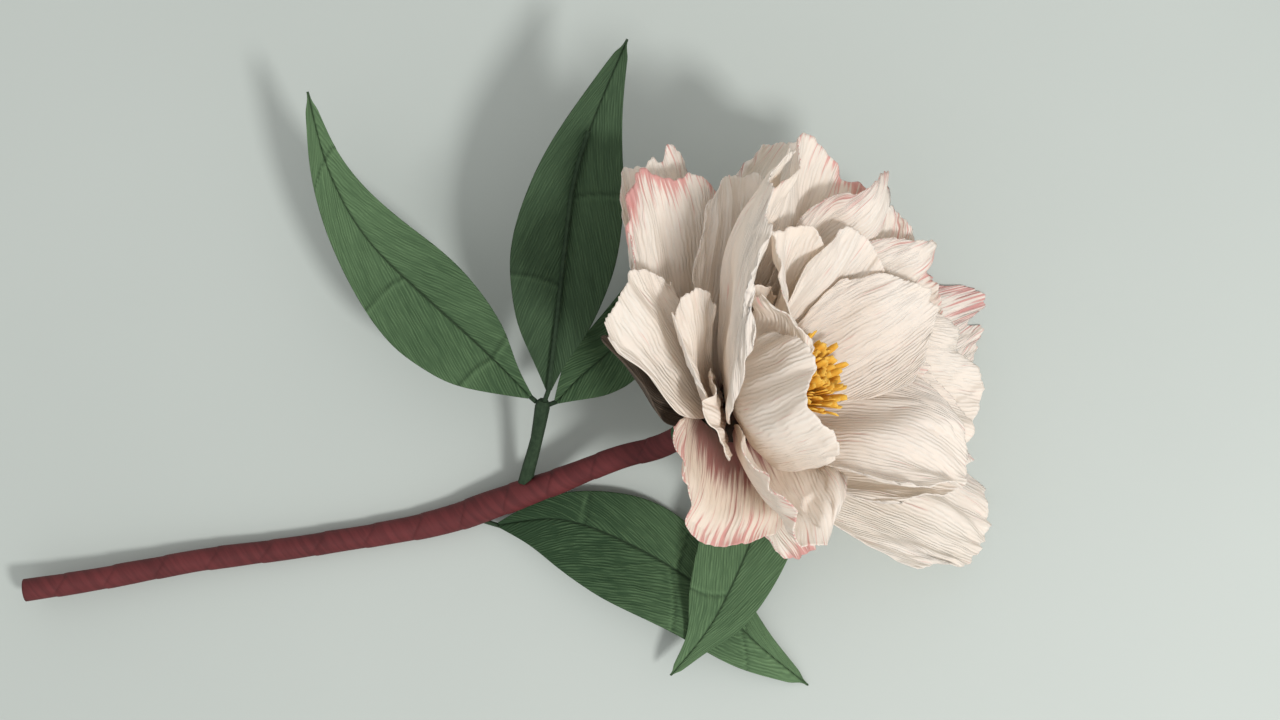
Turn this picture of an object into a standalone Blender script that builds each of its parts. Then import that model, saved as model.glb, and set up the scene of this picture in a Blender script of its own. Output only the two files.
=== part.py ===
"""A crepe paper peony lying on its side on a table.

X runs along the stem towards the bloom, Y across it, Z up from the table. The stem and the leaves are laid
out in table coordinates. The bloom's parts are made about their own Z axis and hang on an empty that tilts them.
Everything hangs on one more empty, which is moved so that the origin is at the middle of the footprint.
"""

import math
from typing import NamedTuple

import bmesh
import bpy
import numpy as np
from mathutils import Euler, Matrix, Vector

MM = 0.001

# Paper, wire and gaps
PETAL_PAPER = 0.45 * MM
LEAF_PAPER = 0.6 * MM
STAMEN_PAPER = 0.5 * MM
TOUCH = 0.3 * MM
LAYER_GAP = 0.55 * MM  # between two petals near the core
RIM_GAP = 1.3 * MM  # and near the rim

# Stem: a wire inside a wound paper sleeve
WIRE_RADIUS = 1.7 * MM
SLEEVE_END_RADIUS = 3.3 * MM
SLEEVE_BINDING_RADIUS = 4.3 * MM
SLEEVE_NECK_RADIUS = 3.4 * MM
STEM_STEPS = 26
BINDING_PLACE = 0.68  # where the leaf stalks are bound in, as a share of the stem's length
BINDING_SPREAD = 0.12
NECK_LEAD = 9.0 * MM  # straight run of the stem below the calyx
STEM_ROUTE = (
    (-181.5, -68.0, 8.6),
    (-159.6, -64.7, 6.8),
    (-130.5, -59.5, 5.0),
    (-101.0, -55.6, 3.8),
    (-71.4, -50.8, 3.6),
    (-56.5, -47.4, 3.8),
    (-41.5, -42.1, 5.8),
    (-23.5, -35.3, 10.8),
    (-5.8, -28.2, 17.8),
)

# Bloom: where its core is, which way it faces, and how far the petals reach
CORE_CENTRE = Vector((26.0, -14.5, 41.0)) * MM
BLOOM_HEADING = math.radians(27)
BLOOM_TILT = math.radians(40)
BLOOM_RADIUS = 100.0 * MM  # petals are given in hundredths of this
CORE_RADIUS = 8.5 * MM
CORE_FLAT = math.radians(40)  # polar angle at which the core is cut flat for the stamens
CORE_SEAT = math.radians(165)  # and below, for the wire and the calyx
CORE_SIDES = 20
CALYX_RADIUS = 7.0 * MM
CALYX_LENGTH = 13.0 * MM
CALYX_SHAPE = ((0.0, 0.12), (0.35, 0.22), (0.7, 0.53), (1.0, 1.0))  # share of its height, and of its widening

# Stamens: one fringed strip wound round the tip of the wire
STAMEN_INNER_RADIUS = 1.2 * MM
STAMEN_PITCH = 0.95 * MM
STAMEN_BAND = 7.0 * MM  # height of the strip below the slits
STAMEN_HEIGHT = 26.0 * MM
STAMEN_TOOTH = 1.7 * MM
STAMEN_SLIT = 0.8 * MM
STAMEN_TURNS = 4.0
STAMEN_FLARE = 1.05
STAMEN_WOBBLE = 0.06  # how unevenly the teeth end, as a share of their height
STAMEN_ROOM = 0.8 * MM

# Leaves
MIDRIB_RADIUS = 0.7 * MM
LEAF_COLUMNS = 6
LEAF_ROWS = 11
WIRED_ROWS = LEAF_ROWS - 2  # its wire ends short of the tip
LEAF_FLATTEN = 0.35  # how much flatter the leaf is at its rim than at its fold
STALK_STEPS = 9

# Petal outlines
BASE_HALF_WIDTH = 3.8 * MM
PETAL_START = CORE_RADIUS + TOUCH + 0.5 * PETAL_PAPER
WIDEST_PLACE = math.radians(122)  # how far a sine runs along the petal: past 90 it narrows towards the tip
RIM_ROUNDING = 0.26
RIM_POWER = 2.4
TIP_SWEEP_POWER = 1.5

# Petal meshes and the map of free space that they are nested in
TABLE_CLEARANCE = 0.2 * MM
PETAL_COLUMNS = 8
PETAL_ROWS = 8
MAP_ROWS = 180
MAP_COLUMNS = 46
MAP_REACH = 1.03 * BLOOM_RADIUS
MAP_SPREAD = 3
MAP_PASSES = 7
MAP_SOFTNESS = math.radians(6)
WIDEST_POLAR = math.radians(130)

BLOOM_TURN = Euler((math.pi / 2 - BLOOM_TILT, 0.0, math.pi / 2 + BLOOM_HEADING))
_, UPWARD, AXIS = BLOOM_TURN.to_matrix().col

FINISHES = {
    "blush crepe": ((0.80, 0.70, 0.60), 0.75, 0.0),
    "olive crepe": ((0.13, 0.11, 0.07), 0.85, 0.0),
    "green crepe": ((0.035, 0.09, 0.035), 0.85, 0.0),
    "yellow crepe": ((0.80, 0.42, 0.06), 0.8, 0.0),
    "burgundy crepe": ((0.20, 0.035, 0.04), 0.8, 0.0),
    "green tape": ((0.05, 0.10, 0.045), 0.85, 0.0),
    "florist wire": ((0.35, 0.36, 0.36), 0.4, 1.0),
}


class Petal(NamedTuple):
    """One petal. Angles are in degrees about the bloom's axis, lengths in hundredths of BLOOM_RADIUS."""

    name: str
    azimuth: float  # where its foot is glued, round the axis
    sweep: float  # how far its tip turns away from that
    foot: float  # polar angle at the foot
    belly: float  # polar angle half way up
    tip: float  # polar angle at the tip
    length: float  # from the bloom's centre to the tip
    width: float
    cup: float  # how far its sides close in
    lean: float = 0.0  # how far its left side lies over its right
    frill: float = 0.0  # height of the waves in its rim
    waves: float = 0.0
    shift: float = 0.0  # where the waves start
    notch: float = 0.0  # depth of the cuts in its rim, as a share of the length
    notches: float = 7.0


# Outermost first: each one is nested inside those before it.
SEPALS = (
    Petal("sepal_long", 62, -12, 122, 86, 80, 56, 10, 4),
    Petal("sepal_top", 350, 0, 122, 102, 92, 30, 13, 4),
    Petal("sepal_right", 268, 0, 122, 102, 92, 28, 12, 4),
    Petal("sepal_low", 176, 0, 122, 106, 100, 30, 12, 4),
)
PETALS = (
    Petal("guard_petal_bottom", 190, 4, 104, 96, 96, 49, 44, 0, 3, 5, 1.2, 1.2, 0.06),
    Petal("guard_petal_lower_left", 138, -4, 104, 96, 92, 41, 60, 10, 2, 5, 1.4, 2.4, 0.06),
    Petal("guard_petal_lower_right", 227, -4, 98, 81, 82, 99, 60, 0, 2, 3, 1.3, 0.3, 0.04),
    Petal("guard_petal_under", 294, -4, 94, 77, 80, 84, 56, 4, 3, 3, 1.2, 0.8, 0.05),
    Petal("guard_petal_right", 268, -3, 94, 75, 72, 96, 46, 2, 3, 3, 1.4, 1.9, 0.04),
    Petal("guard_petal_top", 13, -6, 96, 79, 74, 80, 28, 4, 4, 3, 1.0, 0.0, 0.05),
    Petal("guard_petal_upper_left", 28, -14, 94, 75, 69, 77, 34, 4, 8, 3, 1.0, 1.4, 0.05),
    Petal("guard_petal_left", 65, -17, 94, 77, 71, 68, 44, 8, 0, 3, 1.0, 0.4, 0.05),
    Petal("guard_petal_top_right", 330, -8, 92, 71, 66, 84, 56, 4, 4, 4, 1.2, 2.2, 0.05),
    Petal("outer_petal_left", 12, -14, 80, 62, 58, 71, 32, 6, 6, 3, 1.0, 0.2, 0.04),
    Petal("outer_petal_narrow", 66, -24, 80, 64, 56, 58, 20, 6, 2, 3, 1.0, 0.7, 0.06),
    Petal("outer_petal_short", 84, -6, 84, 69, 58, 40, 26, 6, 2, 5, 1.3, 1.3, 0.08),
    Petal("outer_petal_upper", 56, -46, 76, 56, 42, 87, 60, 0, -6, 3, 1.2, 1.0, 0.04),
    Petal("outer_petal_top", 350, -10, 76, 54, 47, 82, 52, 4, 4, 4, 1.4, 2.0, 0.06),
    Petal("outer_petal_top_right", 320, -6, 76, 54, 46, 80, 52, 4, 4, 4, 1.3, 1.6, 0.04),
    Petal("outer_petal_far", 291, -4, 78, 56, 48, 76, 50, 4, 3, 3, 1.2, 1.6, 0.05),
    Petal("outer_petal_right", 252, -6, 78, 61, 55, 77, 50, 2, 3, 3, 1.3, 2.7, 0.05),
    Petal("outer_petal_lower_right", 218, 6, 80, 62, 58, 70, 50, 2, 3, 3, 1.3, 0.9, 0.05),
    Petal("outer_petal_lower", 148, -6, 84, 70, 60, 52, 52, 8, 3, 5, 1.2, 0.0, 0.05),
    Petal("inner_petal_front", 97, -2, 66, 49, 26, 58, 52, 6, 3, 3, 1.2, 0.5, 0.05),
    Petal("inner_petal_front_left", 52, -6, 64, 48, 40, 57, 40, 6, 3, 3, 1.1, 1.9, 0.05),
    Petal("inner_petal_top", 14, -8, 62, 45, 38, 64, 46, 4, 3, 3, 1.2, 0.3, 0.05),
    Petal("inner_petal_top_right", 330, -6, 62, 44, 38, 64, 46, 4, 3, 3, 1.1, 1.1, 0.05),
    Petal("inner_petal_right", 243, -4, 60, 47, 43, 58, 40, 4, 3, 3, 1.1, 0.6, 0.05),
    Petal("inner_petal_lower", 212, 0, 60, 50, 50, 70, 44, 4, 3, 3, 1.1, 1.4, 0.05),
    Petal("inner_petal_far", 282, -4, 58, 44, 40, 66, 50, 4, 3, 3, 1.2, 2.3, 0.05),
)


class Leaf(NamedTuple):
    """One leaf. Lengths are in millimetres in table coordinates, angles in degrees."""

    name: str
    stalk: tuple  # where its wire starts
    route: tuple  # the midrib from the foot to the tip
    left: tuple  # half widths on the two sides, at LEAF_SHARES of the length
    right: tuple
    roll: float = 0.0  # how far the leaf is turned about its midrib
    fold: float = 12.0  # how far each half rises from flat
    rib_side: int = -1  # -1 with the wire under the leaf, 1 with the wire on it


LEAF_SHARES = (0.0, 0.1, 0.2, 0.4, 0.6, 0.8, 1.0)
JOINT = (-28.0, -13.5, 23.5)  # where the stalk of the three upper leaves divides
STALK_ROUTE = ((-34.5, -38.5, 8.0), (-32.4, -31.0, 12.5), (-30.0, -23.0, 17.8), JOINT, (-27.6, -11.5, 24.6))
STALK_RADII = (2.2, 2.0, 1.8, 2.2, 1.5)
LEAVES = (
    Leaf(
        "leaf_left",
        stalk=JOINT,
        route=(
            (-31.5, -10.5, 24.5),
            (-45.5, 4.0, 25.5),
            (-61.5, 18.5, 26.0),
            (-78.0, 34.5, 27.0),
            (-88.5, 54.0, 30.0),
            (-93.0, 75.0, 36.0),
        ),
        left=(0.8, 8.5, 15.0, 17.5, 10.0, 5.0, 0.6),
        right=(0.8, 3.5, 9.5, 13.5, 11.0, 5.0, 0.6),
    ),
    Leaf(
        "leaf_middle",
        stalk=JOINT,
        route=(
            (-26.0, -8.5, 27.0),
            (-23.5, 10.0, 31.5),
            (-21.0, 30.5, 35.5),
            (-18.0, 51.0, 39.5),
            (-11.5, 70.0, 42.0),
            (-3.5, 88.5, 43.0),
        ),
        left=(0.8, 6.0, 12.0, 16.0, 11.0, 5.5, 0.6),
        right=(0.8, 4.0, 10.0, 15.5, 14.5, 7.0, 0.6),
        fold=14.0,
        rib_side=1,
    ),
    Leaf(
        "leaf_right",
        stalk=JOINT,
        route=(
            (-24.0, -12.0, 22.5),
            (-16.5, -4.0, 22.0),
            (-8.0, 3.0, 20.0),
            (0.5, 15.0, 17.0),
            (5.5, 27.0, 14.0),
            (8.5, 40.0, 12.0),
        ),
        left=(0.8, 4.0, 7.0, 9.0, 8.0, 5.0, 0.6),
        right=(0.8, 5.0, 9.0, 11.5, 9.0, 5.0, 0.6),
    ),
    Leaf(
        "leaf_low",
        stalk=(-50.0, -46.8, 4.6),
        route=(
            (-42.0, -49.0, 5.2),
            (-23.0, -47.0, 5.0),
            (-1.5, -55.5, 6.5),
            (17.5, -67.0, 6.2),
            (33.0, -83.0, 4.2),
            (50.5, -97.5, 0.4),
        ),
        left=(0.8, 4.5, 8.5, 16.0, 11.0, 5.5, 0.6),
        right=(0.8, 8.0, 15.0, 18.5, 16.5, 10.5, 0.6),
        roll=-12.0,
        fold=8.0,
    ),
    Leaf(
        "leaf_twisted",
        stalk=(4.0, -25.4, 22.5),
        route=(
            (40.5, -23.0, 17.0),
            (38.0, -35.0, 15.5),
            (32.5, -52.5, 14.5),
            (24.0, -72.0, 12.5),
            (17.5, -82.5, 11.0),
            (9.0, -93.0, 9.0),
        ),
        left=(0.8, 6.0, 10.5, 12.5, 9.5, 4.0, 0.6),
        right=(0.8, 6.0, 11.0, 15.5, 11.0, 4.0, 0.6),
        fold=10.0,
    ),
)


# Objects, sheets, rods and turned bodies


def add_object(name, mesh, finish, holder):
    """A smooth-shaded object with a material of its own, hung on an empty."""
    colour, roughness, metallic = FINISHES[finish]
    paint = bpy.data.materials.new(f"{name} {finish}")
    paint.use_nodes = True
    shader = paint.node_tree.nodes["Principled BSDF"]
    shader.inputs["Base Color"].default_value = (*colour, 1.0)
    shader.inputs["Roughness"].default_value = roughness
    shader.inputs["Metallic"].default_value = metallic
    paint.diffuse_color = (*colour, 1.0)
    mesh.materials.append(paint)
    mesh.shade_smooth()
    mesh.set_sharp_from_angle(angle=math.radians(50))
    made = bpy.data.objects.new(name, mesh)
    made.parent = holder
    bpy.context.scene.collection.objects.link(made)
    return made


def add_empty(name, holder=None):
    """An empty that carries other objects."""
    made = bpy.data.objects.new(name, None)
    made.parent = holder
    bpy.context.scene.collection.objects.link(made)
    return made


def as_mesh(name, shape):
    """The mesh of a bmesh, which is freed."""
    mesh = bpy.data.meshes.new(name)
    shape.to_mesh(mesh)
    shape.free()
    return mesh


def sheet_shape(places):
    """A flat grid whose points are moved to the given places, row by row."""
    shape = bmesh.new()
    rows, columns = len(places), len(places[0])
    bmesh.ops.create_grid(shape, x_segments=columns - 1, y_segments=rows - 1, size=1.0)
    for vert, place in zip(shape.verts, (place for row in places for place in row)):
        vert.co = place
    return shape


def thicken(sheet, thickness, even=True):
    """Gives a sheet the thickness of its paper, half to each side."""
    paper = sheet.modifiers.new("Paper", "SOLIDIFY")
    paper.thickness = thickness
    paper.offset = 0.0
    paper.use_even_offset = even


def rod_mesh(name, path, radii, fineness):
    """The mesh of a solid rod: a curve with a bevel and filled ends."""
    curve = bpy.data.curves.new(name, "CURVE")
    curve.dimensions = "3D"
    curve.bevel_depth = MM
    curve.bevel_resolution = fineness
    curve.use_fill_caps = True
    spline = curve.splines.new("POLY")
    spline.points.add(len(path) - 1)
    for point, place, radius in zip(spline.points, path, radii):
        point.co = (*place, 1.0)
        point.radius = radius / MM
    guide = bpy.data.objects.new(name, curve)
    mesh = bpy.data.meshes.new_from_object(guide)
    bpy.data.objects.remove(guide)
    bpy.data.curves.remove(curve)
    return mesh


def turned_mesh(name, profile, sides):
    """The mesh of a body turned about Z from (height, radius) pairs that close on themselves or end on Z."""
    shape = bmesh.new()
    corners = [shape.verts.new((radius, 0.0, height)) for height, radius in profile]
    edges = [shape.edges.new(pair) for pair in zip(corners, corners[1:])]
    if profile[0][1] > 0:
        edges.append(shape.edges.new((corners[-1], corners[0])))
    bmesh.ops.spin(
        shape,
        geom=corners + edges,
        cent=(0.0, 0.0, 0.0),
        axis=(0.0, 0.0, 1.0),
        angle=2 * math.pi,
        steps=sides,
        use_merge=True,
    )
    bmesh.ops.remove_doubles(shape, verts=shape.verts, dist=0.01 * MM)
    bmesh.ops.recalc_face_normals(shape, faces=shape.faces)
    return as_mesh(name, shape)


def add_cutter(name, path, radii, fineness, holder):
    """A hidden rod that other pieces are cut with."""
    cutter = add_object(name, rod_mesh(name, path, radii, fineness), "green tape", holder)
    cutter.hide_render = True
    cutter.display_type = "WIRE"
    return cutter


def cut(target, cutter):
    """Takes the cutter's shape out of the target."""
    seat = target.modifiers.new("Seat", "BOOLEAN")
    seat.operation = "DIFFERENCE"
    seat.solver = "EXACT"
    seat.object = cutter


# Paths


def millimetres(points):
    """Points given in millimetres as vectors in metres."""
    return [Vector(point) * MM for point in points]


def smooth_curve(points, count):
    """A Catmull-Rom curve through the points, at count places."""
    ends = [2 * points[0] - points[1], *points, 2 * points[-1] - points[-2]]
    made = []
    for step in range(count):
        place = step / (count - 1) * (len(points) - 1)
        k = min(int(place), len(points) - 2)
        t = place - k
        a, b, c, d = ends[k : k + 4]
        bend = 2 * a - 5 * b + 4 * c - d
        turn = 3 * b - a - 3 * c + d
        made.append(0.5 * (2 * b + (c - a) * t + bend * t**2 + turn * t**3))
    return made


def tangents(path):
    """Unit directions along a path."""
    last = len(path) - 1
    return [(path[min(k + 1, last)] - path[max(k - 1, 0)]).normalized() for k in range(last + 1)]


# Stem


def stem_path():
    """The centre line from the cut end to the underside of the calyx."""
    neck = CORE_CENTRE - AXIS * (CORE_RADIUS + CALYX_LENGTH)
    return smooth_curve([*millimetres(STEM_ROUTE), neck - AXIS * NECK_LEAD, neck], STEM_STEPS)


def sleeve_radius(share):
    """The sleeve's radius at a share of the stem's length: thicker where the stalks are bound in."""
    taper = SLEEVE_END_RADIUS + (SLEEVE_NECK_RADIUS - SLEEVE_END_RADIUS) * share
    swell = math.exp(-(((share - BINDING_PLACE) / BINDING_SPREAD) ** 2))
    return taper + (SLEEVE_BINDING_RADIUS - taper) * swell


def core_seat():
    """How far below the core's centre its flat underside is."""
    return -CORE_RADIUS * math.cos(CORE_SEAT)


def add_stem(holder):
    """The wire, and the paper sleeve round it. Returns the cutter that keeps other pieces off the sleeve."""
    path = stem_path()
    radii = [sleeve_radius(k / (STEM_STEPS - 1)) for k in range(STEM_STEPS)]
    head = CORE_CENTRE - AXIS * (core_seat() + TOUCH)
    wire = rod_mesh("stem_wire", [*path, head], [WIRE_RADIUS] * (STEM_STEPS + 1), 1)
    add_object("stem_wire", wire, "florist wire", holder)
    sleeve = add_object("stem_sleeve", rod_mesh("stem_sleeve", path, radii, 2), "burgundy crepe", holder)
    beyond = [2 * path[0] - path[1], *path[1:-1], 2 * path[-1] - path[-2]]
    bore = add_cutter("stem_bore", beyond, [WIRE_RADIUS + TOUCH] * STEM_STEPS, 1, holder)
    cut(sleeve, bore)
    return add_cutter("stem_cutter", path, [radius + TOUCH for radius in radii], 2, holder)


# Core, calyx and stamens


def add_core(holder):
    """The wound paper ball that the petals are glued round, flat on top for the stamens."""
    steps = 9
    profile = [(-core_seat(), 0.0)]
    for k in range(steps):
        polar = CORE_SEAT + (CORE_FLAT - CORE_SEAT) * k / (steps - 1)
        profile.append((CORE_RADIUS * math.cos(polar), CORE_RADIUS * math.sin(polar)))
    profile.append((CORE_RADIUS * math.cos(CORE_FLAT), 0.0))
    add_object("petal_core", turned_mesh("petal_core", profile, CORE_SIDES), "green tape", holder)


def add_calyx(holder):
    """The green paper cup under the core, round the end of the stem."""
    head = -core_seat() - TOUCH
    foot = -CORE_RADIUS - CALYX_LENGTH + TOUCH
    widening = CALYX_RADIUS - SLEEVE_NECK_RADIUS
    outside = [(foot + (head - foot) * h, SLEEVE_NECK_RADIUS + widening * w) for h, w in CALYX_SHAPE]
    bore = WIRE_RADIUS + TOUCH
    profile = [*outside, (head, bore), (foot, bore)]
    add_object("calyx", turned_mesh("calyx", profile, CORE_SIDES), "green crepe", holder)


def stamen_girth():
    """The wound strip's outer radius at its foot."""
    return STAMEN_INNER_RADIUS + STAMEN_PITCH * STAMEN_TURNS


def stamen_foot():
    """Height of the strip's lower edge, just above the core."""
    return CORE_RADIUS * math.cos(CORE_FLAT) + TOUCH


def stamen_place(distance, height, wobble):
    """Where a point of the flat strip ends up once it is wound round the axis."""
    growth = STAMEN_PITCH / (2 * math.pi)
    turn = (math.sqrt(STAMEN_INNER_RADIUS**2 + 2 * growth * distance) - STAMEN_INNER_RADIUS) / growth
    radius = STAMEN_INNER_RADIUS + growth * turn
    share = height / STAMEN_HEIGHT
    radius *= 1 + STAMEN_FLARE * share**2 * radius / stamen_girth()
    rise = stamen_foot() + height + wobble * share
    return Vector((radius * math.cos(turn), radius * math.sin(turn), rise))


def add_stamens(holder):
    """One yellow strip, slit into a fringe along its top and wound round the axis."""
    step = STAMEN_TOOTH + STAMEN_SLIT
    length = math.pi * STAMEN_TURNS * (STAMEN_INNER_RADIUS + stamen_girth())
    teeth = int(length / step)
    levels = ((0.0, 0.0), (STAMEN_BAND, 0.0), (0.6 * STAMEN_HEIGHT, 0.05), (STAMEN_HEIGHT, 0.35))
    places = []
    for height, narrowing in levels:
        half = 0.5 * STAMEN_TOOTH * (1 - narrowing)
        row = []
        for tooth in range(teeth):
            middle = tooth * step + 0.5 * STAMEN_TOOTH
            wobble = STAMEN_WOBBLE * STAMEN_HEIGHT * math.sin(2.4 * middle / step)
            row += [stamen_place(middle + side * half, height, wobble) for side in (-1, 1)]
        places.append(row)
    shape = sheet_shape(places)
    columns = 2 * teeth - 1
    slits = [face for face in shape.faces if face.index % columns % 2 and face.index >= columns]
    bmesh.ops.delete(shape, geom=slits, context="FACES")
    strip = add_object("stamens", as_mesh("stamens", shape), "yellow crepe", holder)
    thicken(strip, STAMEN_PAPER, even=False)


# Petals, nested from the outside in through a map of the free space round the core


def bloom_length(value):
    """A length given in hundredths of the bloom's radius."""
    return value / 100 * BLOOM_RADIUS


def table_limit():
    """For each azimuth and radius, the largest polar angle that keeps a point above the table."""
    azimuths = np.arange(MAP_ROWS) * 2 * np.pi / MAP_ROWS
    radii = np.linspace(CORE_RADIUS, MAP_REACH, MAP_COLUMNS)
    azimuth, radius = np.meshgrid(azimuths, radii, indexing="ij")
    up, side = AXIS.z, np.sin(azimuth) * UPWARD.z
    drop = (CORE_CENTRE.z - TABLE_CLEARANCE) / (radius * np.hypot(up, side))
    limit = np.arctan2(side, up) + np.arccos(np.clip(-drop, -1.0, 1.0))
    return azimuth, radius, np.minimum(limit, WIDEST_POLAR)


def stamen_polar(radius):
    """The polar angle of the stamens' outside, with some room beside it."""
    rise = np.clip((radius - stamen_foot()) / STAMEN_HEIGHT, 0.0, 1.3)
    side = stamen_girth() * (1 + STAMEN_FLARE * rise**2) + STAMEN_ROOM
    return np.arcsin(np.clip(side / radius, 0.0, 0.95))


def near_values(field):
    """The field shifted to each place round it."""
    wide = np.pad(field, ((0, 0), (MAP_SPREAD, MAP_SPREAD)), mode="edge")
    return [
        np.roll(wide, a, axis=0)[:, r : r + field.shape[1]]
        for a in range(-MAP_SPREAD, MAP_SPREAD + 1)
        for r in range(2 * MAP_SPREAD + 1)
    ]


def spread_low(field):
    """The lowest value near each place, then the mean of those, which is never above the value there."""
    lowest = np.minimum.reduce(near_values(field))
    return np.mean(near_values(lowest), axis=0)


def lower_of(a, b):
    """The smaller of two fields, rounded off where they cross."""
    gap = np.clip((MAP_SOFTNESS - np.abs(a - b)) / MAP_SOFTNESS, 0.0, 1.0)
    return np.minimum(a, b) - MAP_SOFTNESS * gap**2 / 4


def petal_middle(petal, share):
    """Azimuth of the petal's middle line at a share of its length."""
    return np.radians(petal.azimuth + petal.sweep * share**TIP_SWEEP_POWER)


def petal_profile(petal, share):
    """Polar angle along the petal's middle line: a parabola through foot, belly and tip."""
    foot, belly, tip = petal.foot, petal.belly, petal.tip
    bend = 2 * (foot + tip - 2 * belly)
    return np.radians(foot + (tip - foot - bend) * share + bend * share**2)


def petal_half_width(petal, share):
    """Half the petal's width: narrow at the foot, widest at two thirds, rounded at the tip."""
    widening = 0.5 * bloom_length(petal.width) - BASE_HALF_WIDTH
    return BASE_HALF_WIDTH + widening * np.sin(share**0.9 * WIDEST_PLACE)


def petal_length(petal, across):
    """The petal's length at a place across it, with a rounded, notched rim."""
    rounding = RIM_ROUNDING * np.abs(across) ** RIM_POWER
    cuts = 0.5 + 0.5 * np.sin(petal.notches * across + 2 * petal.shift + 0.7)
    return bloom_length(petal.length) * (1 - rounding - petal.notch * cuts**2)


def petal_half_angle(petal, share, radius):
    """Half the petal's width as an azimuth."""
    ring = radius * np.sin(np.maximum(petal_profile(petal, share), 0.5))
    return petal_half_width(petal, share) / ring


def petal_wish(petal, across, share):
    """The polar angle that the petal would take if nothing were in the way."""
    inside = np.clip(across, -1.3, 1.3)
    wave = np.sin(petal.waves * np.pi * inside + petal.shift)
    turn = petal.lean * inside - petal.cup * inside**2 + petal.frill * wave * share**3
    return petal_profile(petal, share) + np.radians(turn) * np.clip(share * 3, 0.0, 1.0)


def petal_share(petal, radius):
    """How far along its middle line the petal is at a radius."""
    return np.clip((radius - CORE_RADIUS) / (bloom_length(petal.length) - CORE_RADIUS), 0.0, 1.0)


def petal_places(petal):
    """Azimuth and radius of every point of the petal's mesh, row by row from the foot."""
    across = np.linspace(-1.0, 1.0, PETAL_COLUMNS + 1)[None, :]
    along = np.linspace(0.0, 1.0, PETAL_ROWS + 1)[:, None]
    radius = PETAL_START + (petal_length(petal, across) - PETAL_START) * along
    share = petal_share(petal, radius)
    azimuth = petal_middle(petal, share) + across * petal_half_angle(petal, share, radius)
    return azimuth, radius


def between(field, row, column):
    """The field's value between its rows and columns."""
    low_row = np.clip(np.floor(row).astype(int), 0, field.shape[0] - 2)
    low_column = np.clip(np.floor(column).astype(int), 0, field.shape[1] - 2)
    r, c = row - low_row, column - low_column
    near = field[low_row, low_column] * (1 - c) + field[low_row, low_column + 1] * c
    far = field[low_row + 1, low_column] * (1 - c) + field[low_row + 1, low_column + 1] * c
    return near * (1 - r) + far * r


def read_map(field, azimuth, radius):
    """The map's value at any azimuth and radius."""
    closed = np.vstack([field, field[:1]])
    row = azimuth / (2 * np.pi) * MAP_ROWS % MAP_ROWS
    return between(closed, row, (radius - CORE_RADIUS) / (MAP_REACH - CORE_RADIUS) * (MAP_COLUMNS - 1))


def sheet_room(polar, radius):
    """The polar angle that one sheet and the gap to the next take up, more where the sheet is steep."""
    along = np.gradient(polar, axis=1) / np.gradient(radius, axis=1) * radius
    round_axis = np.gradient(polar, axis=0) * MAP_ROWS / (2 * np.pi) / np.sin(np.maximum(polar, 0.4))
    steepness = np.sqrt(1 + np.minimum(along**2 + round_axis**2, 3.0))
    share = (radius - CORE_RADIUS) / (MAP_REACH - CORE_RADIUS)
    return (PETAL_PAPER + LAYER_GAP + (RIM_GAP - LAYER_GAP) * share) * steepness / radius


def place_on_petal(petal, azimuth, radius):
    """For each place of the map, how far across, along and down the middle of the petal it is."""
    share = petal_share(petal, radius)
    offset = (azimuth - petal_middle(petal, share) + np.pi) % (2 * np.pi) - np.pi
    across = offset / petal_half_angle(petal, share, radius)
    rim = petal_length(petal, np.clip(across, -1.0, 1.0))
    return across, (radius - PETAL_START) / (rim - PETAL_START), share


def nest_petal(petal, azimuth, radius, table, limit):
    """Places of the petal's mesh, and the limit that it leaves for the next petals.

    The mesh is flat between its points, so it is compared with the limit and lowered until it keeps
    within it.
    """
    across, along, share = place_on_petal(petal, azimuth, radius)
    column = (np.clip(across, -1.0, 1.0) + 1) * PETAL_COLUMNS / 2
    row = np.clip(along, 0.0, 1.0) * PETAL_ROWS
    covered = (np.abs(across) < 1.08) & (along < 1.04)
    wish = petal_wish(petal, across, share)
    mesh_azimuth, mesh_radius = petal_places(petal)
    excess = np.zeros_like(limit)
    for _ in range(MAP_PASSES):
        settled = np.minimum(lower_of(wish, spread_low(limit) - excess), table)
        settled = np.maximum(settled, stamen_polar(radius))
        mesh_polar = read_map(settled, mesh_azimuth, mesh_radius)
        flat = between(mesh_polar, row, column)
        over = np.where(covered, np.maximum(flat - limit, 0.0), 0.0)
        excess = excess - spread_low(-over)
    left = np.where(covered, np.minimum(limit, flat - sheet_room(flat, radius)), limit)
    return (mesh_azimuth, mesh_polar, mesh_radius), left


def bloom_place(azimuth, polar, radius):
    """A point from its azimuth, polar angle and distance from the core's centre."""
    reach = radius * math.sin(polar)
    return Vector((reach * math.cos(azimuth), reach * math.sin(azimuth), radius * math.cos(polar)))


def add_petals(holder):
    """Every sepal and petal, from the outside in."""
    azimuth, radius, table = table_limit()
    limit = np.full_like(table, WIDEST_POLAR)
    for petal in SEPALS + PETALS:
        nested, limit = nest_petal(petal, azimuth, radius, table, limit)
        places = [[bloom_place(*map(float, place)) for place in zip(*row)] for row in zip(*nested)]
        mesh = as_mesh(petal.name, sheet_shape(places))
        finish = "olive crepe" if petal in SEPALS else "blush crepe"
        thicken(add_object(petal.name, mesh, finish, holder), PETAL_PAPER)


# Leaves


def leaf_frames(leaf):
    """Places, sides and normals along the midrib."""
    path = smooth_curve(millimetres(leaf.route), LEAF_ROWS + 1)
    frames = []
    for centre, along in zip(path, tangents(path)):
        side = Vector((0.0, 0.0, 1.0)).cross(along).normalized()
        side = Matrix.Rotation(math.radians(leaf.roll), 3, along) @ side
        frames.append((centre, side, along.cross(side)))
    return frames


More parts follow.
